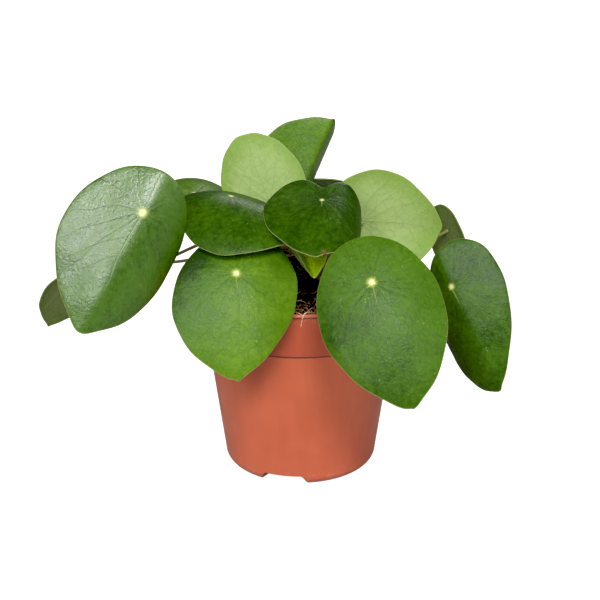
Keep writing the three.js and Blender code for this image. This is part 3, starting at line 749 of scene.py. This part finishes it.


# Leaf blades
# Round, slightly fleshy blades, satin green above and pale below. A blade is held from below at its
# navel, the pale dot from which sunken veins run out, and its skin is puckered between them. It has
# a thin pale margin. Old blades are darker, and some have a dry spot. The youngest is brighter: partly
# its own fresh green, partly painted light, as it sits in the shade of the others.
#
# The table gives each blade's navel and tip from the foot of the pot's axis, the way that its top
# faces, its flat width, its length behind the navel, and how far it turns down, in degrees, towards
# its tip, base, left and right. root, rise, leave and arm are its stalk's. tone is how bright its
# green is, under how dark its underside is painted as painted shade, dot the size of its navel, rib
# the length of the pale stretch of its midrib, which on a long stretch is also a painted highlight,
# ribbed how clearly its veins show, painted darker as painted shade in their grooves, spots are dry
# patches at (right, ahead, radius) on the flat blade, and the painted shade patches are places at
# (right, ahead, radius) painted darker as painted shade, with how much darker.
LEAVES = [
    dict(name="front_left", navel=(-36, -62, 142), tip=(-35, -92, 89), face=(0.1, -1, 0.6), width=72,
         lobe=27, bend=(15, 25, 25, 5), point=0.35, shear=0.15, root=128, rise=50, tone=0.75, dot=1.4,
         rib=13, deep=[(24, -14, 16, 0.9), (36, 14, 22, 0.55), (-30, -14, 14, 0.3)]),
    dict(name="front_right", navel=(39, -84, 145), tip=(61, -118, 84), face=(0.05, -1, 0.5), width=71,
         lobe=27, bend=(15, 5, 15, 20), point=0.3, root=124, rise=50, tone=0.44, dot=1.5, rib=16,
         ribbed=0.2, spots=[(0, 73, 1.2)], deep=[(30, 14, 24, 0.24), (6, 58, 24, 0.2)]),
    dict(name="left", navel=(-87, -66, 179), tip=(-121, -93, 118), face=(0.2, -1, 0.6), width=76,
         lobe=26, bend=(10, 5, 60, -5), crease=10, point=0.32, root=137, rise=10, tone=0.34, dot=1.6,
         rib=50, ribbed=0.3, waxy=True),
    dict(name="far_left", navel=(-139, 10, 108), tip=(-156, 16, 79), face=(-0.6, 0.8, 0.3), width=40,
         lobe=18, bend=(15, 15, 15, 15), point=0.3, shear=0.2, root=140, rise=48, arm=0.2, tone=0.3,
         under=0.55),
    dict(name="back_left", navel=(-66, 52, 153), tip=(-90, 100, 144), face=(0, 0, 1), width=62,
         lobe=20, bend=(30, 10, 20, 20), wave=2, root=133, rise=30, tone=0.7, under=0.4),
    dict(name="middle_left", navel=(-40, -24, 175), tip=(4, -40, 155), face=(0.1, 0, 1), width=91,
         lobe=32, bend=(30, 30, 60, 60), point=0.1, root=139, rise=20, tone=0.17),
    dict(name="upright_left", navel=(-18, 14, 158), tip=(-33, 24, 199), face=(0.1, 1, 0.2), width=52,
         lobe=13, bend=(-10, -10, -10, -10), point=0, shear=0.05, root=143, rise=10, tone=0.6),
    dict(name="top", navel=(0, 32, 158), tip=(20, 50, 201), face=(0.65, -0.8, 0.2), width=70, lobe=12,
         bend=(-10, 10, -10, 20), crease=38, point=0.1, shear=0.05, root=133, rise=-15, leave=128,
         arm=0.6, tone=0.68, spots=[(0, 50, 2.6)]),
    dict(name="middle", navel=(12, -34, 176), tip=(9, -72, 156), face=(-0.1, 0, 1), width=66, lobe=25,
         bend=(20, -5, 95, 0), notch=0.5, point=0.1, root=145, rise=40, tone=0.10, dot=0.7,
         spots=[(-4.6, 41.2, 1.2)]),
    dict(name="young_front", navel=(-5, -22, 143), tip=(8, -42, 132), face=(0.6, -0.5, 0.8), width=40,
         lobe=8, bend=(-20, -20, -20, -20), crease=-40, root=141, rise=0, tone=2.0),
    dict(name="upright_right", navel=(37, 14, 148), tip=(85, 17, 143), face=(0, 1, 0.1), width=66,
         lobe=22, bend=(10, 0, 50, -5), point=0.1, shear=-0.13, root=142, rise=10, tone=0.5),
    dict(name="behind_right", navel=(91, 42, 132), tip=(103, 38, 94), face=(0.7, 0.7, 0.3), width=34,
         lobe=18, bend=(10, 10, 15, 15), wave=1, shear=-0.2, root=127, rise=15, leave=75, tone=0.3,
         under=0.6),
    dict(name="right", navel=(88, -25, 120), tip=(117, -50, 66), face=(-0.5, -1, 0.4), width=62,
         lobe=22, bend=(15, 0, 5, 40), crease=20, shear=0.5, root=128, rise=20, leave=15, tone=0.23,
         dot=1.1, rib=14),
    dict(name="back_middle", navel=(12, 98, 144), tip=(16, 128, 109), face=(0, 0.6, 1), width=58,
         lobe=20, bend=(20, 20, 20, 20), root=135, rise=30, tone=0.35),
    dict(name="back_right", navel=(42, 62, 144), tip=(64, 94, 124), face=(0.2, 0.3, 1), width=54,
         lobe=19, bend=(20, 10, 20, 20), root=131, rise=12, leave=80, tone=0.5),
    dict(name="rear_far_left", navel=(-112, 45, 128), tip=(-134, 75, 96), face=(-0.5, 0.6, 1), width=54,
         lobe=19, bend=(20, 15, 15, 15), root=127, rise=28, tone=0.45),
    dict(name="rear_left", navel=(-36, 80, 134), tip=(-50, 112, 92), face=(-0.3, 1, 0.6), width=60,
         lobe=22, bend=(20, 15, 15, 15), root=122, rise=45, tone=0.6, spots=[(-26, 20, 2.0)]),
    dict(name="rear_middle", navel=(-2, 88, 120), tip=(-4, 110, 78), face=(0, 1, 0.5), width=46,
         lobe=18, bend=(20, 15, 15, 15), root=122, rise=50, tone=0.5),
    dict(name="rear_right", navel=(49, 76, 120), tip=(58, 102, 82), face=(0.4, 1, 0.6), width=48,
         lobe=18, bend=(20, 15, 15, 15), root=122, rise=40, tone=0.7),
]
BLADE = 0.8
BLADE_SPOKES = 144
BLADE_RINGS = 38
MARGIN_ROUND = 0.014
WAVES = 3
WAVE_START = 0.6
BELLY = 0.88
ROUND = 0.5
POINT = 0.2
NOTCH_SPREAD = 0.3
CREASE_EASE = 0.6

# The veins of one half of a blade. Each leaves the midrib at a distance ahead of the navel and at an
# angle to it, curves towards the tip, and has its own width. The other half mirrors them.
VEINS = [(0, 27, 0.002, 0.55), (0, 52, 0.006, 0.6), (0, 82, 0.009, 0.55), (0, 116, 0.008, 0.5),
         (0, 150, 0.004, 0.4), (14, 47, 0.004, 0.4), (27, 50, 0.005, 0.4), (40, 52, 0.006, 0.35)]
MIDRIB_WIDTH = 0.8
FLAT_UNIT = 100
LIGHT_THROUGH = 0.25

LEAF_SHADE = (0.022, 0.062, 0.006, 1)
LEAF_GREEN = (0.072, 0.168, 0.010, 1)
LEAF_BRIGHT = (0.170, 0.315, 0.018, 1)
# Partly painted light: the youngest blade's fresh green, made bright enough to stand in for light that its
# shaded place doesn't get.
LEAF_YOUNG_AND_LIT = (0.600, 0.850, 0.045, 1)
LEAF_HALO = (0.40, 0.50, 0.06, 1)
LEAF_NAVEL = (0.80, 0.75, 0.44, 1)
# Partly painted highlight: the midrib's own pale colour, greyed to stand in for sheen along the crease.
LEAF_RIB_AND_SHEEN = (0.36, 0.44, 0.15, 1)
LEAF_MARGIN = (0.36, 0.38, 0.13, 1)
LEAF_SPECK = (0.42, 0.44, 0.22, 1)
LEAF_BROWN = (0.15, 0.090, 0.034, 1)
UNDER_PALE = (0.385, 0.520, 0.180, 1)
UNDER_GREEN = (0.250, 0.400, 0.070, 1)
# Painted shade: the dark olive of undersides that lie in shadow.
UNDER_SHADE = (0.105, 0.140, 0.036, 1)
UNDER_VEIN = (0.220, 0.350, 0.075, 1)
UNDER_SPECK = (0.55, 0.62, 0.32, 1)


def leaf_axes(leaf):
    """The blade's own directions at its navel: ahead to the tip, right, and up out of its top. A blade
    that bends evenly from navel to tip leaves the straight line between them by half its bend."""
    navel = np.array(leaf["navel"], float)
    chord = np.array(leaf["tip"], float) - navel
    distance = np.linalg.norm(chord)
    line = chord / distance
    face = np.array(leaf["face"], float)
    level = unit(face - line * (face @ line))
    half = math.radians(leaf["bend"][0]) / 2
    ahead = line * math.cos(half) + level * math.sin(half)
    up = level * math.cos(half) - line * math.sin(half)
    reach = distance * half / math.sin(half)
    return navel, ahead, np.cross(ahead, up), up, reach


def arc(length, start, turn, span):
    """How far forward and down a point lies at a length along an arc that sets off start below the
    level and turns turn more over span, and its angle there."""
    rate = np.where(np.abs(turn) < 1e-6, 1e-6, turn) / span
    angle = start + rate * length
    return (np.sin(angle) - np.sin(start)) / rate, (np.cos(start) - np.cos(angle)) / rate, angle


def blade_surface(leaf, right_of, ahead_of):
    """Points of the blade's middle surface, and the directions out of its top, at flat distances to
    the right of the midrib and ahead of the navel: an arc along the midrib carries an arc across
    each half, which first drops by the crease. The crease is rounded as a hyperbola is."""
    navel, ahead, right, up, reach = leaf_axes(leaf)
    tip, base, left_turn, right_turn = np.radians(leaf["bend"])
    front = np.where(ahead_of >= 0, 1.0, -1.0)
    side = np.where(right_of >= 0, 1.0, -1.0)
    rib_forward, rib_down, rib_angle = arc(np.abs(ahead_of), 0.0, np.where(front > 0, tip, base),
                                           np.where(front > 0, reach, leaf["lobe"]))
    crease = math.radians(leaf.get("crease", 0))
    forward, down, angle = arc(np.abs(right_of), crease, np.where(side > 0, right_turn, left_turn),
                               leaf["width"] / 2)
    if crease:
        ease = CREASE_EASE / abs(math.sin(crease))
        eased_off = np.hypot(right_of, ease)
        down = down + math.sin(crease) * (eased_off - ease - np.abs(right_of))
        angle = angle - crease * (1 - np.abs(right_of) / eased_off)
    column = lambda values: values[..., None]
    rib_up = up * column(np.cos(rib_angle)) + ahead * column(front * np.sin(rib_angle))
    points = (navel + ahead * column(front * rib_forward) - up * column(rib_down)
              + right * column(side * forward) - rib_up * column(down))
    tilt = np.where(np.abs(right_of) < 1e-9, 0, angle)
    return points, rib_up * column(np.cos(tilt)) + right * column(side * np.sin(tilt))


def blade_outline(leaf, reach, turn):
    """The flat margin at a turn round the navel, from the base edge over the right side to the tip: a
    round belly that narrows to a short point, slid ahead on one side by the shear, cut in at the
    base by the notch, and uneven by two small waves of its own."""
    share = (1 - np.cos(turn)) / 2
    breadth = np.sin(np.pi * share ** BELLY) ** (ROUND + leaf.get("point", POINT) * share ** 2)
    away = np.minimum(turn, 2 * np.pi - turn)
    own = leaf["navel"][0]
    cut = 1 - leaf.get("notch", 0) * np.exp(-(away / NOTCH_SPREAD) ** 2)
    cut = cut + 0.007 * np.sin(5 * turn + own) + 0.005 * np.sin(11 * turn + 2 * own)
    right_of = np.sign(np.sin(turn)) * leaf["width"] / 2 * breadth
    ahead_of = -leaf["lobe"] + (leaf["lobe"] + reach) * share + leaf.get("shear", 0) * right_of
    return right_of * cut, ahead_of * cut


def vein_grooves(right_of, ahead_of):
    """How deep the veins lie in the blade: along each vein a groove with a bell-shaped section, which
    fades towards the margin."""
    side = np.abs(right_of)
    depth = 0.9 * np.exp(-(right_of / 1.1) ** 2)
    for start, angle, curve, width in VEINS:
        slope = math.radians(angle)
        off = (ahead_of - start - side / math.tan(slope) - curve * side ** 2) * math.sin(slope)
        depth = np.maximum(depth, np.exp(-(off / (2 * width)) ** 2) * width)
    return depth * np.exp(-np.hypot(right_of, ahead_of) / 45)


def blade_relief(leaf, right_of, ahead_of, share, turn, seed):
    """The blade's skin above its middle surface: the waved margin, a slow buckle, puckers between the
    veins, the veins' grooves, and a margin that rolls down a little."""
    wave = leaf.get("wave", 0) * share ** 2 * np.sin(WAVES * turn + WAVE_START)
    buckle = 0.4 * ripple(right_of, ahead_of, 17, seed) * share ** 1.5
    coarse, fine = ripple(right_of, ahead_of, 6.0, seed + 1), ripple(right_of, ahead_of, 2.8, seed + 2)
    pucker = 0.08 * coarse + 0.03 * fine
    grooves = 0.07 * vein_grooves(right_of, ahead_of)
    return wave + buckle + pucker * np.minimum(1, 2.5 * share) - grooves - 0.3 * share ** 14


def blade_mesh(leaf, number):
    """A blade as two sheets of rings and spokes round the navel, a thickness apart, which meet in the
    rounded margin. Returns its points and faces, and for each point its share of the way to the
    margin and its flat place, bent a little so that no two blades have quite the same veins."""
    reach = leaf_axes(leaf)[4]
    inner = np.linspace(0, 1 - MARGIN_ROUND, BLADE_RINGS - 3)[1:]
    outer = 1 - MARGIN_ROUND * (1 - np.sin(np.radians((25, 50, 72, 90))))
    shares = np.concatenate([inner, outer])
    turn = 2 * np.pi * np.arange(BLADE_SPOKES) / BLADE_SPOKES
    share, turns = np.meshgrid(shares, turn, indexing="ij")
    rings = [share * edge for edge in blade_outline(leaf, reach, turn)] + [share, turns]
    right_of, ahead_of, share, turns = (np.concatenate([[0], values.ravel()]) for values in rings)
    seed = 100 + 10 * number
    grown = np.minimum(1, np.hypot(right_of, ahead_of) / 12)
    flat_right = right_of + grown * 1.6 * ripple(right_of, ahead_of, 14, seed + 3)
    flat_ahead = ahead_of + grown * 1.9 * ripple(right_of, ahead_of, 12, seed + 4)
    middle, normal = blade_surface(leaf, right_of, ahead_of)
    relief = blade_relief(leaf, flat_right, flat_ahead, share, turns, seed)
    thick = np.sqrt(1 - np.clip((share - 1 + MARGIN_ROUND) / MARGIN_ROUND, 0, 1) ** 2)
    top = middle + normal * (relief + BLADE / 2 * thick)[:, None]
    under = middle + normal * (relief - BLADE / 2 * thick)[:, None]
    count = len(top)
    rim = count - BLADE_SPOKES
    column = np.arange(BLADE_SPOKES)
    quads = grid_faces(len(shares), BLADE_SPOKES, 1)[:, ::-1]
    fan = np.stack([0 * column, 1 + column, 1 + (column + 1) % BLADE_SPOKES], -1)
    low = np.concatenate([count + np.arange(rim), rim + column])
    faces = (quads, fan, low[quads[:, ::-1]], low[fan[:, ::-1]])
    flat = np.stack([flat_right, flat_ahead], -1) / FLAT_UNIT
    both_sides = lambda values: np.concatenate([values, values[:rim]])
    return np.concatenate([top, under[:rim]]), faces, both_sides(share), both_sides(flat)


def patch(flat, right_of, ahead_of, radius):
    """1 at a place on the flat blade, which falls off round it like a bell of that radius."""
    away = np.hypot(*(flat * FLAT_UNIT - (right_of, ahead_of)).T)
    return np.exp(-(away / radius) ** 2)


def write_flat(piece, flat):
    """Stores the flat place of each point as the mesh's UV map."""
    layer = piece.data.uv_layers.new(name="flat")
    corners = np.zeros(len(piece.data.loops), np.int32)
    piece.data.loops.foreach_get("vertex_index", corners)
    layer.data.foreach_set("uv", flat[corners].astype(np.float32).ravel())


def new_group(name, inputs, outputs):
    """An empty node group with number outputs, and its inputs as fields. inputs gives their kinds."""
    group = bpy.data.node_groups.new(name, "ShaderNodeTree")
    for socket, kind in inputs.items():
        group.interface.new_socket(socket, in_out="INPUT", socket_type="NodeSocket" + kind)
    for socket in outputs:
        group.interface.new_socket(socket, in_out="OUTPUT", socket_type="NodeSocketFloat")
    return group, fields_of(add_node(group, "NodeGroupInput"))


def fields_of(node):
    """All outputs of a node as fields, by their names."""
    return {socket.name: Field(node, socket.name) for socket in node.outputs if socket.name}


def vectors(place, operation, inputs):
    """One sum on a field of places or directions."""
    return Field(add_node(place.tree, "ShaderNodeVectorMath", {0: place, **inputs}, operation=operation))


def cells(place, scale, feature):
    """The distance to the nearest point or edge among cells that fill the space, scale to a metre."""
    inputs = {"Vector": place, "Scale": scale}
    return Field(add_node(place.tree, "ShaderNodeTexVoronoi", inputs, feature=feature), "Distance")


def vein_group():
    """The veins drawn from the blade's flat place: Mask is 1 on a vein and 0 off it, Glow is the same
    but wide and soft, and both fade with the distance from the navel. Midrib is the line from the
    navel to the tip alone, and Streaks are faint rays that run out from the navel all round."""
    names = ("Mask", "Glow", "Distance", "Midrib", "Streaks")
    group, given = new_group("leaf_veins", {"Flat": "Vector"}, names)
    flat = given["Flat"]
    side = abs(along_axis(flat, "X") * FLAT_UNIT)
    ahead_of = along_axis(flat, "Y") * FLAT_UNIT
    square = side * side
    distance = (square + ahead_of * ahead_of).calculate("SQRT")
    taper = between(distance, 0, 62, 1, 0.35)
    mask = between(side / taper, MIDRIB_WIDTH / 2, MIDRIB_WIDTH * 0.15)
    glow = between(side, 3.2, 0)
    for start, angle, curve, width in VEINS:
        slope = math.radians(angle)
        off = abs(ahead_of - side * (1 / math.tan(slope)) - square * curve - start) * math.sin(slope)
        mask = mask.calculate("MAXIMUM", between(off / taper, width * 0.5, width * 0.12))
        glow = glow.calculate("MAXIMUM", between(off, width * 4.5, 0))
    fade = between(distance, 20, 58, 1, 0.4)
    midrib = between(side, MIDRIB_WIDTH * 0.7, MIDRIB_WIDTH * 0.2) * between(ahead_of, 0, 1)
    spread = vectors(vectors(flat, "NORMALIZE", {}), "SCALE", {"Scale": 9.0})
    along = add_node(group, "ShaderNodeCombineXYZ", {"Z": distance * 0.05}).outputs[0]
    streaks = noise(vectors(spread, "ADD", {1: along}), 1.0, 4)
    found = (mask * fade, glow * fade, distance, midrib, streaks)
    add_node(group, "NodeGroupOutput", dict(zip(names, found)))
    return group


def skin_group():
    """The blade's skin in the object's space: Mottle is cloudy, Specks are tiny pale dots, Mesh is 1
    on the fine veins that join the main ones, Net is the skin's leathery relief, Pores is its finest
    grain, and Dried is 1 where the stored value Dry says that the blade is brown and dry."""
    names = ("Mottle", "Specks", "Mesh", "Net", "Pores", "Dried")
    group, given = new_group("leaf_skin", {"Place": "Vector", "Dry": "Float"}, names)
    place = given["Place"]
    mottle = noise(place, 55, 4) * 0.35 + noise(place, 330, 5, 0.65) * 0.4 + noise(place, 900, 3, 0.7) * 0.25
    specks = between(cells(place, 330.0, "F1"), 0.17, 0.08) * between(noise(place, 75, 2), 0.5, 0.62)
    wander = add_node(group, "ShaderNodeTexNoise", {"Vector": place, "Scale": 140.0, "Detail": 2.0})
    bent = vectors(place, "ADD", {1: vectors(Field(wander, "Color"), "SCALE", {"Scale": 0.004})})
    net = between(cells(bent, 330.0, "DISTANCE_TO_EDGE"), 0.0, 0.3) * 0.35 + noise(bent, 560, 3, 0.6)
    mesh = between(cells(bent, 170.0, "DISTANCE_TO_EDGE"), 0.10, 0.02)
    pores = noise(place, 2200, 3, 0.6)
    dried = between(mottle * 0.5 + given["Dry"], 0.55, 0.8)
    add_node(group, "NodeGroupOutput", dict(zip(names, (mottle, specks, mesh, net, pores, dried))))
    return group


leaf_veins = vein_group()
leaf_skin = skin_group()


def leaf_material(name):
    """An empty material with both groups of the blade in it, fed from its flat place, its object
    place and its stored dryness. Returns what they put out, by name."""
    material, place = new_material(name)
    flat = Field(add_node(material.node_tree, "ShaderNodeUVMap", uv_map="flat"), "UV")
    veins = add_node(material.node_tree, "ShaderNodeGroup", node_tree=leaf_veins)
    skin = add_node(material.node_tree, "ShaderNodeGroup", node_tree=leaf_skin)
    for socket, field in ((veins.inputs["Flat"], flat), (skin.inputs["Place"], place),
                          (skin.inputs["Dry"], read_value(material, "dry"))):
        material.node_tree.links.new(field.socket, socket)
    return material, fields_of(veins), fields_of(skin)


def leaf_top_material(name, shine, dull, specular, leathery):
    """The top of a blade: mottled green by its tone, lower where painted shade lies and brightest, partly
    as painted light, on the youngest blade, with faint rays and pale specks, veins painted darker as
    painted shade in their grooves, a pale stretch of midrib ahead of the navel that on a long stretch
    is also a painted highlight, the cream navel in its yellow halo with short rays, a thin pale margin
    and dry brown spots, under a satin skin from shine to dull, whose leathery relief is that deep in
    millimetres."""
    material, veins, skin = leaf_material(name)
    distance = veins["Distance"]
    rays = veins["Streaks"] - 0.5
    mottled = (skin["Mottle"] - 0.5) * 1.6 + read_value(material, "tone")
    mottled = mottled + rays * between(distance, 36, 6, 0.1, 0.55) - skin["Mesh"] * 0.06
    colour = tinted(between(mottled, -0.1, 0.5), LEAF_SHADE, LEAF_GREEN)
    colour = tinted(between(mottled, 0.4, 1.15), colour, LEAF_BRIGHT)
    # Partly painted light: the youngest blade's bright green also stands in for light that its shaded place
    # doesn't get.
    colour = tinted(between(mottled, 1.3, 2.0), colour, LEAF_YOUNG_AND_LIT)
    colour = tinted(skin["Specks"] * 0.4, colour, LEAF_SPECK)
    # Painted shade: the veins are darkened where their grooves would lie in shade, as far as ribbed says.
    groove = veins["Mask"] * read_value(material, "ribbed")
    colour = tinted(groove, colour, LEAF_SHADE)
    # The pale midrib: its own pale stretch, and where the stretch is long, as on the left blade, also a
    # painted highlight along the crease.
    rib = veins["Midrib"] * between(distance / read_value(material, "rib"), 1.1, 0.3, 0, 0.5)
    colour = tinted(rib, colour, LEAF_RIB_AND_SHEEN)
    frayed = rays * 2.4 + distance / read_value(material, "dot")
    colour = tinted(between(frayed, 2.5, 1.2, 0, 0.8), colour, LEAF_HALO)
    colour = tinted(between(frayed, 1.35, 0.95), colour, LEAF_NAVEL)
    colour = tinted(between(read_value(material, "out"), 0.988, 0.996, 0, 0.75), colour, LEAF_MARGIN)
    colour = tinted(skin["Dried"], colour, LEAF_BROWN)
    roughness = between(skin["Mottle"], 0.35, 0.65, shine, dull) + rays * 0.25 + skin["Dried"] * 0.3
    normal = bump((groove + rib) * -1, 0.14)
    normal = bump(veins["Streaks"], 0.12, normal)
    normal = bump(skin["Net"], leathery, normal)
    normal = bump(skin["Pores"], 0.03, normal)
    return finished(material, colour, roughness, normal, specular, LIGHT_THROUGH)


def leaf_under_material():
    """The underside of a blade: pale and matt, greener towards the margin, and dark olive as painted
    shade where the stored value under says so, with thin raised veins a little darker than the rest
    and small pale dots."""
    material, veins, skin = leaf_material("leaf_under")
    out = read_value(material, "out")
    under = read_value(material, "under")
    mottle = skin["Mottle"] - 0.5
    colour = tinted(between(mottle * 0.9 + out, 0.55, 1.02), UNDER_PALE, UNDER_GREEN)
    # Painted shade: undersides that lie in shadow are painted dark olive, as far as under says.
    colour = tinted(between(mottle * 0.5 + under, -0.05, 1.0), colour, UNDER_SHADE)
    colour = tinted(veins["Mask"] * (under * -0.25 + 0.32), colour, UNDER_VEIN)
    colour = tinted(skin["Mesh"] * 0.26, colour, UNDER_VEIN)
    colour = tinted(skin["Specks"] * 0.3, colour, UNDER_SPECK)
    colour = tinted(between(out, 0.984, 0.994, 0, 0.4), colour, LEAF_MARGIN)
    colour = tinted(skin["Dried"], colour, LEAF_BROWN)
    normal = bump(veins["Glow"] * 0.5 + veins["Mask"] * 0.5, 0.15)
    normal = bump(skin["Net"] * -1, 0.06, normal)
    normal = bump(skin["Pores"], 0.02, normal)
    roughness = between(skin["Mottle"], 0.3, 0.7, 0.5, 0.6)
    return finished(material, colour, roughness, normal, 0.4, LIGHT_THROUGH)


leaf_top = leaf_top_material("leaf_top", shine=0.28, dull=0.36, specular=0.12, leathery=0.10)
leaf_top_waxy = leaf_top_material("leaf_top_waxy", shine=0.26, dull=0.36, specular=0.68, leathery=0.10)
leaf_under = leaf_under_material()

for number, leaf in enumerate(LEAVES):
    blade_points, blade_faces, blade_out, blade_flat = blade_mesh(leaf, number)
    blade = piece_from("blade_" + leaf["name"], blade_points, *blade_faces)
    dry_spots = [patch(blade_flat, *spot) for spot in leaf.get("spots", [])]
    # Painted shade: each patch lowers the blade's tone where the shadow of blades above, or the blade's turn
    # away from the light, darkens it.
    deep_places = [deeper * patch(blade_flat, *place) for *place, deeper in leaf.get("deep", [])]
    write_value(blade, "out", blade_out)
    write_value(blade, "dry", np.max(dry_spots, axis=0, initial=0))
    write_value(blade, "tone", leaf["tone"] - sum(deep_places))
    for value_name, usual in (("under", 0), ("dot", 1), ("rib", 7), ("ribbed", 0.15)):
        write_value(blade, value_name, leaf.get(value_name, usual))
    write_flat(blade, blade_flat)
    blade.data.materials.append(leaf_top_waxy if leaf.get("waxy") else leaf_top)
    blade.data.materials.append(leaf_under)
    half = len(blade.data.polygons) // 2
    blade.data.polygons.foreach_set("material_index", np.repeat([0, 1], half).astype(np.int32))
    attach(blade, "root")
    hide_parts("leaf_" + leaf["name"])


# Leaf stalks
# Each blade has one long stalk, thin, round and tough, brownish where it is old and greener towards
# the blade. It grows out of the trunk with a thicker heel, arches over, and widens again where it
# enters the blade's navel from below.
STALK_RADIUS = 1
STALK_SIDES = 16
STALK_STATIONS = 72
STALK_ARM = 0.34
STALK_GAP = 0.3
STALK_HEEL = 2.2
STALK_BROWN = (0.200, 0.115, 0.050, 1)
STALK_GREEN = (0.225, 0.265, 0.080, 1)
STALK_FLECK = (0.42, 0.38, 0.20, 1)


def stalk_path(leaf):
    """The stalk's line: a cubic curve from the trunk's side, outwards at the rise, to just inside the
    blade above it, which it meets square on. Where the blade is folded it ends under the fold."""
    navel, ahead, right, up, reach = leaf_axes(leaf)
    fold = math.radians(max(0, leaf.get("crease", 0)))
    below = (BLADE / 2 + STALK_GAP) / math.cos(fold) + STALK_RADIUS * math.tan(fold)
    end = navel - up * below
    lean = TRUNK_LEAN * (leaf["root"] - TRUNK_FOOT)
    middle = np.array([TRUNK_X + lean, TRUNK_Y, leaf["root"]])
    towards = math.atan2(end[1] - middle[1], end[0] - middle[0])
    heading = math.radians(leaf["leave"]) if "leave" in leaf else towards
    outwards = np.array([math.cos(heading), math.sin(heading), 0])
    rise = math.radians(leaf["rise"])
    gap = trunk_radius(leaf["root"]) + STALK_GAP + STALK_RADIUS * abs(math.sin(rise))
    start = middle + outwards * gap
    span = np.linalg.norm(end - start)
    first = start + STALK_ARM * span * (outwards * math.cos(rise) + np.array([0, 0, math.sin(rise)]))
    second = end - up * leaf.get("arm", STALK_ARM) * span
    share = np.linspace(0, 1, STALK_STATIONS - 2)[:, None]
    line = ((1 - share) ** 3 * start + 3 * share * (1 - share) ** 2 * first
            + 3 * share ** 2 * (1 - share) * second + share ** 3 * end)
    return np.concatenate([[start - outwards * STALK_HEEL], line, [navel - up * 0.15]])


def stalk_material():
    """Tough stalk skin: brown near the trunk and greener towards the blade, with a cloudy change
    between them, small pale flecks, a fine grain and a soft gloss."""
    material, place = new_material("stalk_skin")
    share = (noise(place, 130, 4, 0.6) - 0.5) * 1.2 + read_value(material, "along")
    colour = tinted(between(share, 0.15, 0.95), STALK_BROWN, STALK_GREEN)
    colour = tinted(between(noise(place, 1500), 0.6, 0.72) * 0.4, colour, STALK_FLECK)
    return finished(material, colour, 0.4, bump(noise(place, 1900, 2), 0.12))


# Half the stalk's thickness along it: a heel that dies away over a twentieth of its length, an even
# shaft, and a flare in the last fiftieth.
stalk_share = np.linspace(0, 1, STALK_STATIONS)
heel = 0.75 * np.exp(-stalk_share / 0.045)
flare = 0.55 * np.exp(-(1 - stalk_share) / 0.018)
stalk_radii = STALK_RADIUS * (0.95 + heel + flare)
stalk_skin = stalk_material()
for leaf in LEAVES:
    stalk_tube = tubes(stalk_path(leaf)[None], stalk_radii[None], STALK_SIDES)
    stalk = piece_from("petiole_" + leaf["name"], *stalk_tube)
    write_value(stalk, "along", np.concatenate([np.repeat(stalk_share, STALK_SIDES), [0, 1]]))
    stalk.data.materials.append(stalk_skin)
    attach(stalk, "root")
    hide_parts("stalk_" + leaf["name"])


# Light and floor
# A studio sweep: a wide soft box at either side, a tall one in front, a little to the left, which
# puts the sheen on the blades, a high one and a small one in front, one behind, and a paper floor.
# Each box has its azimuth, elevation and distance, its width and height, and its power.
LIGHT_MIDDLE = (0, 0, 120)
LIGHTS = [
    ("left_box", -80, 28, 1600, (1000, 900), 9.5),
    ("key_box", -17, 30, 1600, (320, 560), 10.5),
    ("high_box", 7, 42, 1600, (420, 340), 19.5),
    ("small_box", 27, 32, 1600, (220, 320), 2.5),
    ("right_box", 70, 26, 1600, (900, 900), 8.5),
    ("back_box", 165, 31, 1700, (900, 400), 12.0),
]
SKY_LIGHT = 0.05
FLOOR_HALF = 6000
FLOOR_GLOW = 0.96
FLOOR_GREY = (0.40, 0.40, 0.40, 1)
WHITE = (1, 1, 1, 1)

for light_name, azimuth, elevation, distance, size, power in LIGHTS:
    turn, lift = math.radians(azimuth), math.radians(elevation)
    lamp_data = bpy.data.lights.new(light_name, "AREA")
    lamp_data.shape = "RECTANGLE"
    lamp_data.size, lamp_data.size_y = size[0] * MM, size[1] * MM
    lamp_data.energy = power
    lamp = bpy.data.objects.new(light_name, lamp_data)
    away = np.array([math.sin(turn) * math.cos(lift), -math.cos(turn) * math.cos(lift), math.sin(lift)])
    lamp.location = AXIS + (np.array(LIGHT_MIDDLE) + away * distance) * MM
    lamp.rotation_euler = (math.radians(90 - elevation), 0, turn)
    bpy.context.scene.collection.objects.link(lamp)

world = bpy.data.worlds.new("studio")
world.use_nodes = True
bpy.context.scene.world = world
world.node_tree.nodes.clear()
seen = add_node(world.node_tree, "ShaderNodeLightPath").outputs["Is Camera Ray"]
sky = add_node(world.node_tree, "ShaderNodeMapRange", {"Value": seen, "To Min": SKY_LIGHT, "To Max": 1.0})
background = add_node(world.node_tree, "ShaderNodeBackground", {"Color": WHITE, "Strength": sky.outputs[0]})
add_node(world.node_tree, "ShaderNodeOutputWorld", {"Surface": background.outputs[0]})


def floor_material():
    """Paper that shows white: it glows, but only towards the camera, and is grey itself, so that it
    sends little light back into the plant's shadows."""
    material, place = new_material("floor_paper")
    tree = material.node_tree
    roughness = between(noise(place, 40), 0.3, 0.7, 0.72, 0.80)
    paper = add_node(tree, "ShaderNodeBsdfPrincipled", {"Base Color": FLOOR_GREY, "Roughness": roughness})
    glow = add_node(tree, "ShaderNodeEmission", {"Color": WHITE, "Strength": FLOOR_GLOW})
    both = add_node(tree, "ShaderNodeAddShader", {0: paper.outputs[0], 1: glow.outputs[0]})
    seen_floor = add_node(tree, "ShaderNodeLightPath").outputs["Is Camera Ray"]
    mix = add_node(tree, "ShaderNodeMixShader", {0: seen_floor, 1: paper.outputs[0], 2: both.outputs[0]})
    add_node(tree, "ShaderNodeOutputMaterial", {"Surface": mix.outputs[0]})
    return material


floor_corners = FLOOR_HALF * np.array([(-1, -1, 0), (1, -1, 0), (1, 1, 0), (-1, 1, 0)], float)
floor = piece_from("floor", floor_corners, np.array([[0, 1, 2, 3]]))
floor.data.materials.append(floor_material())
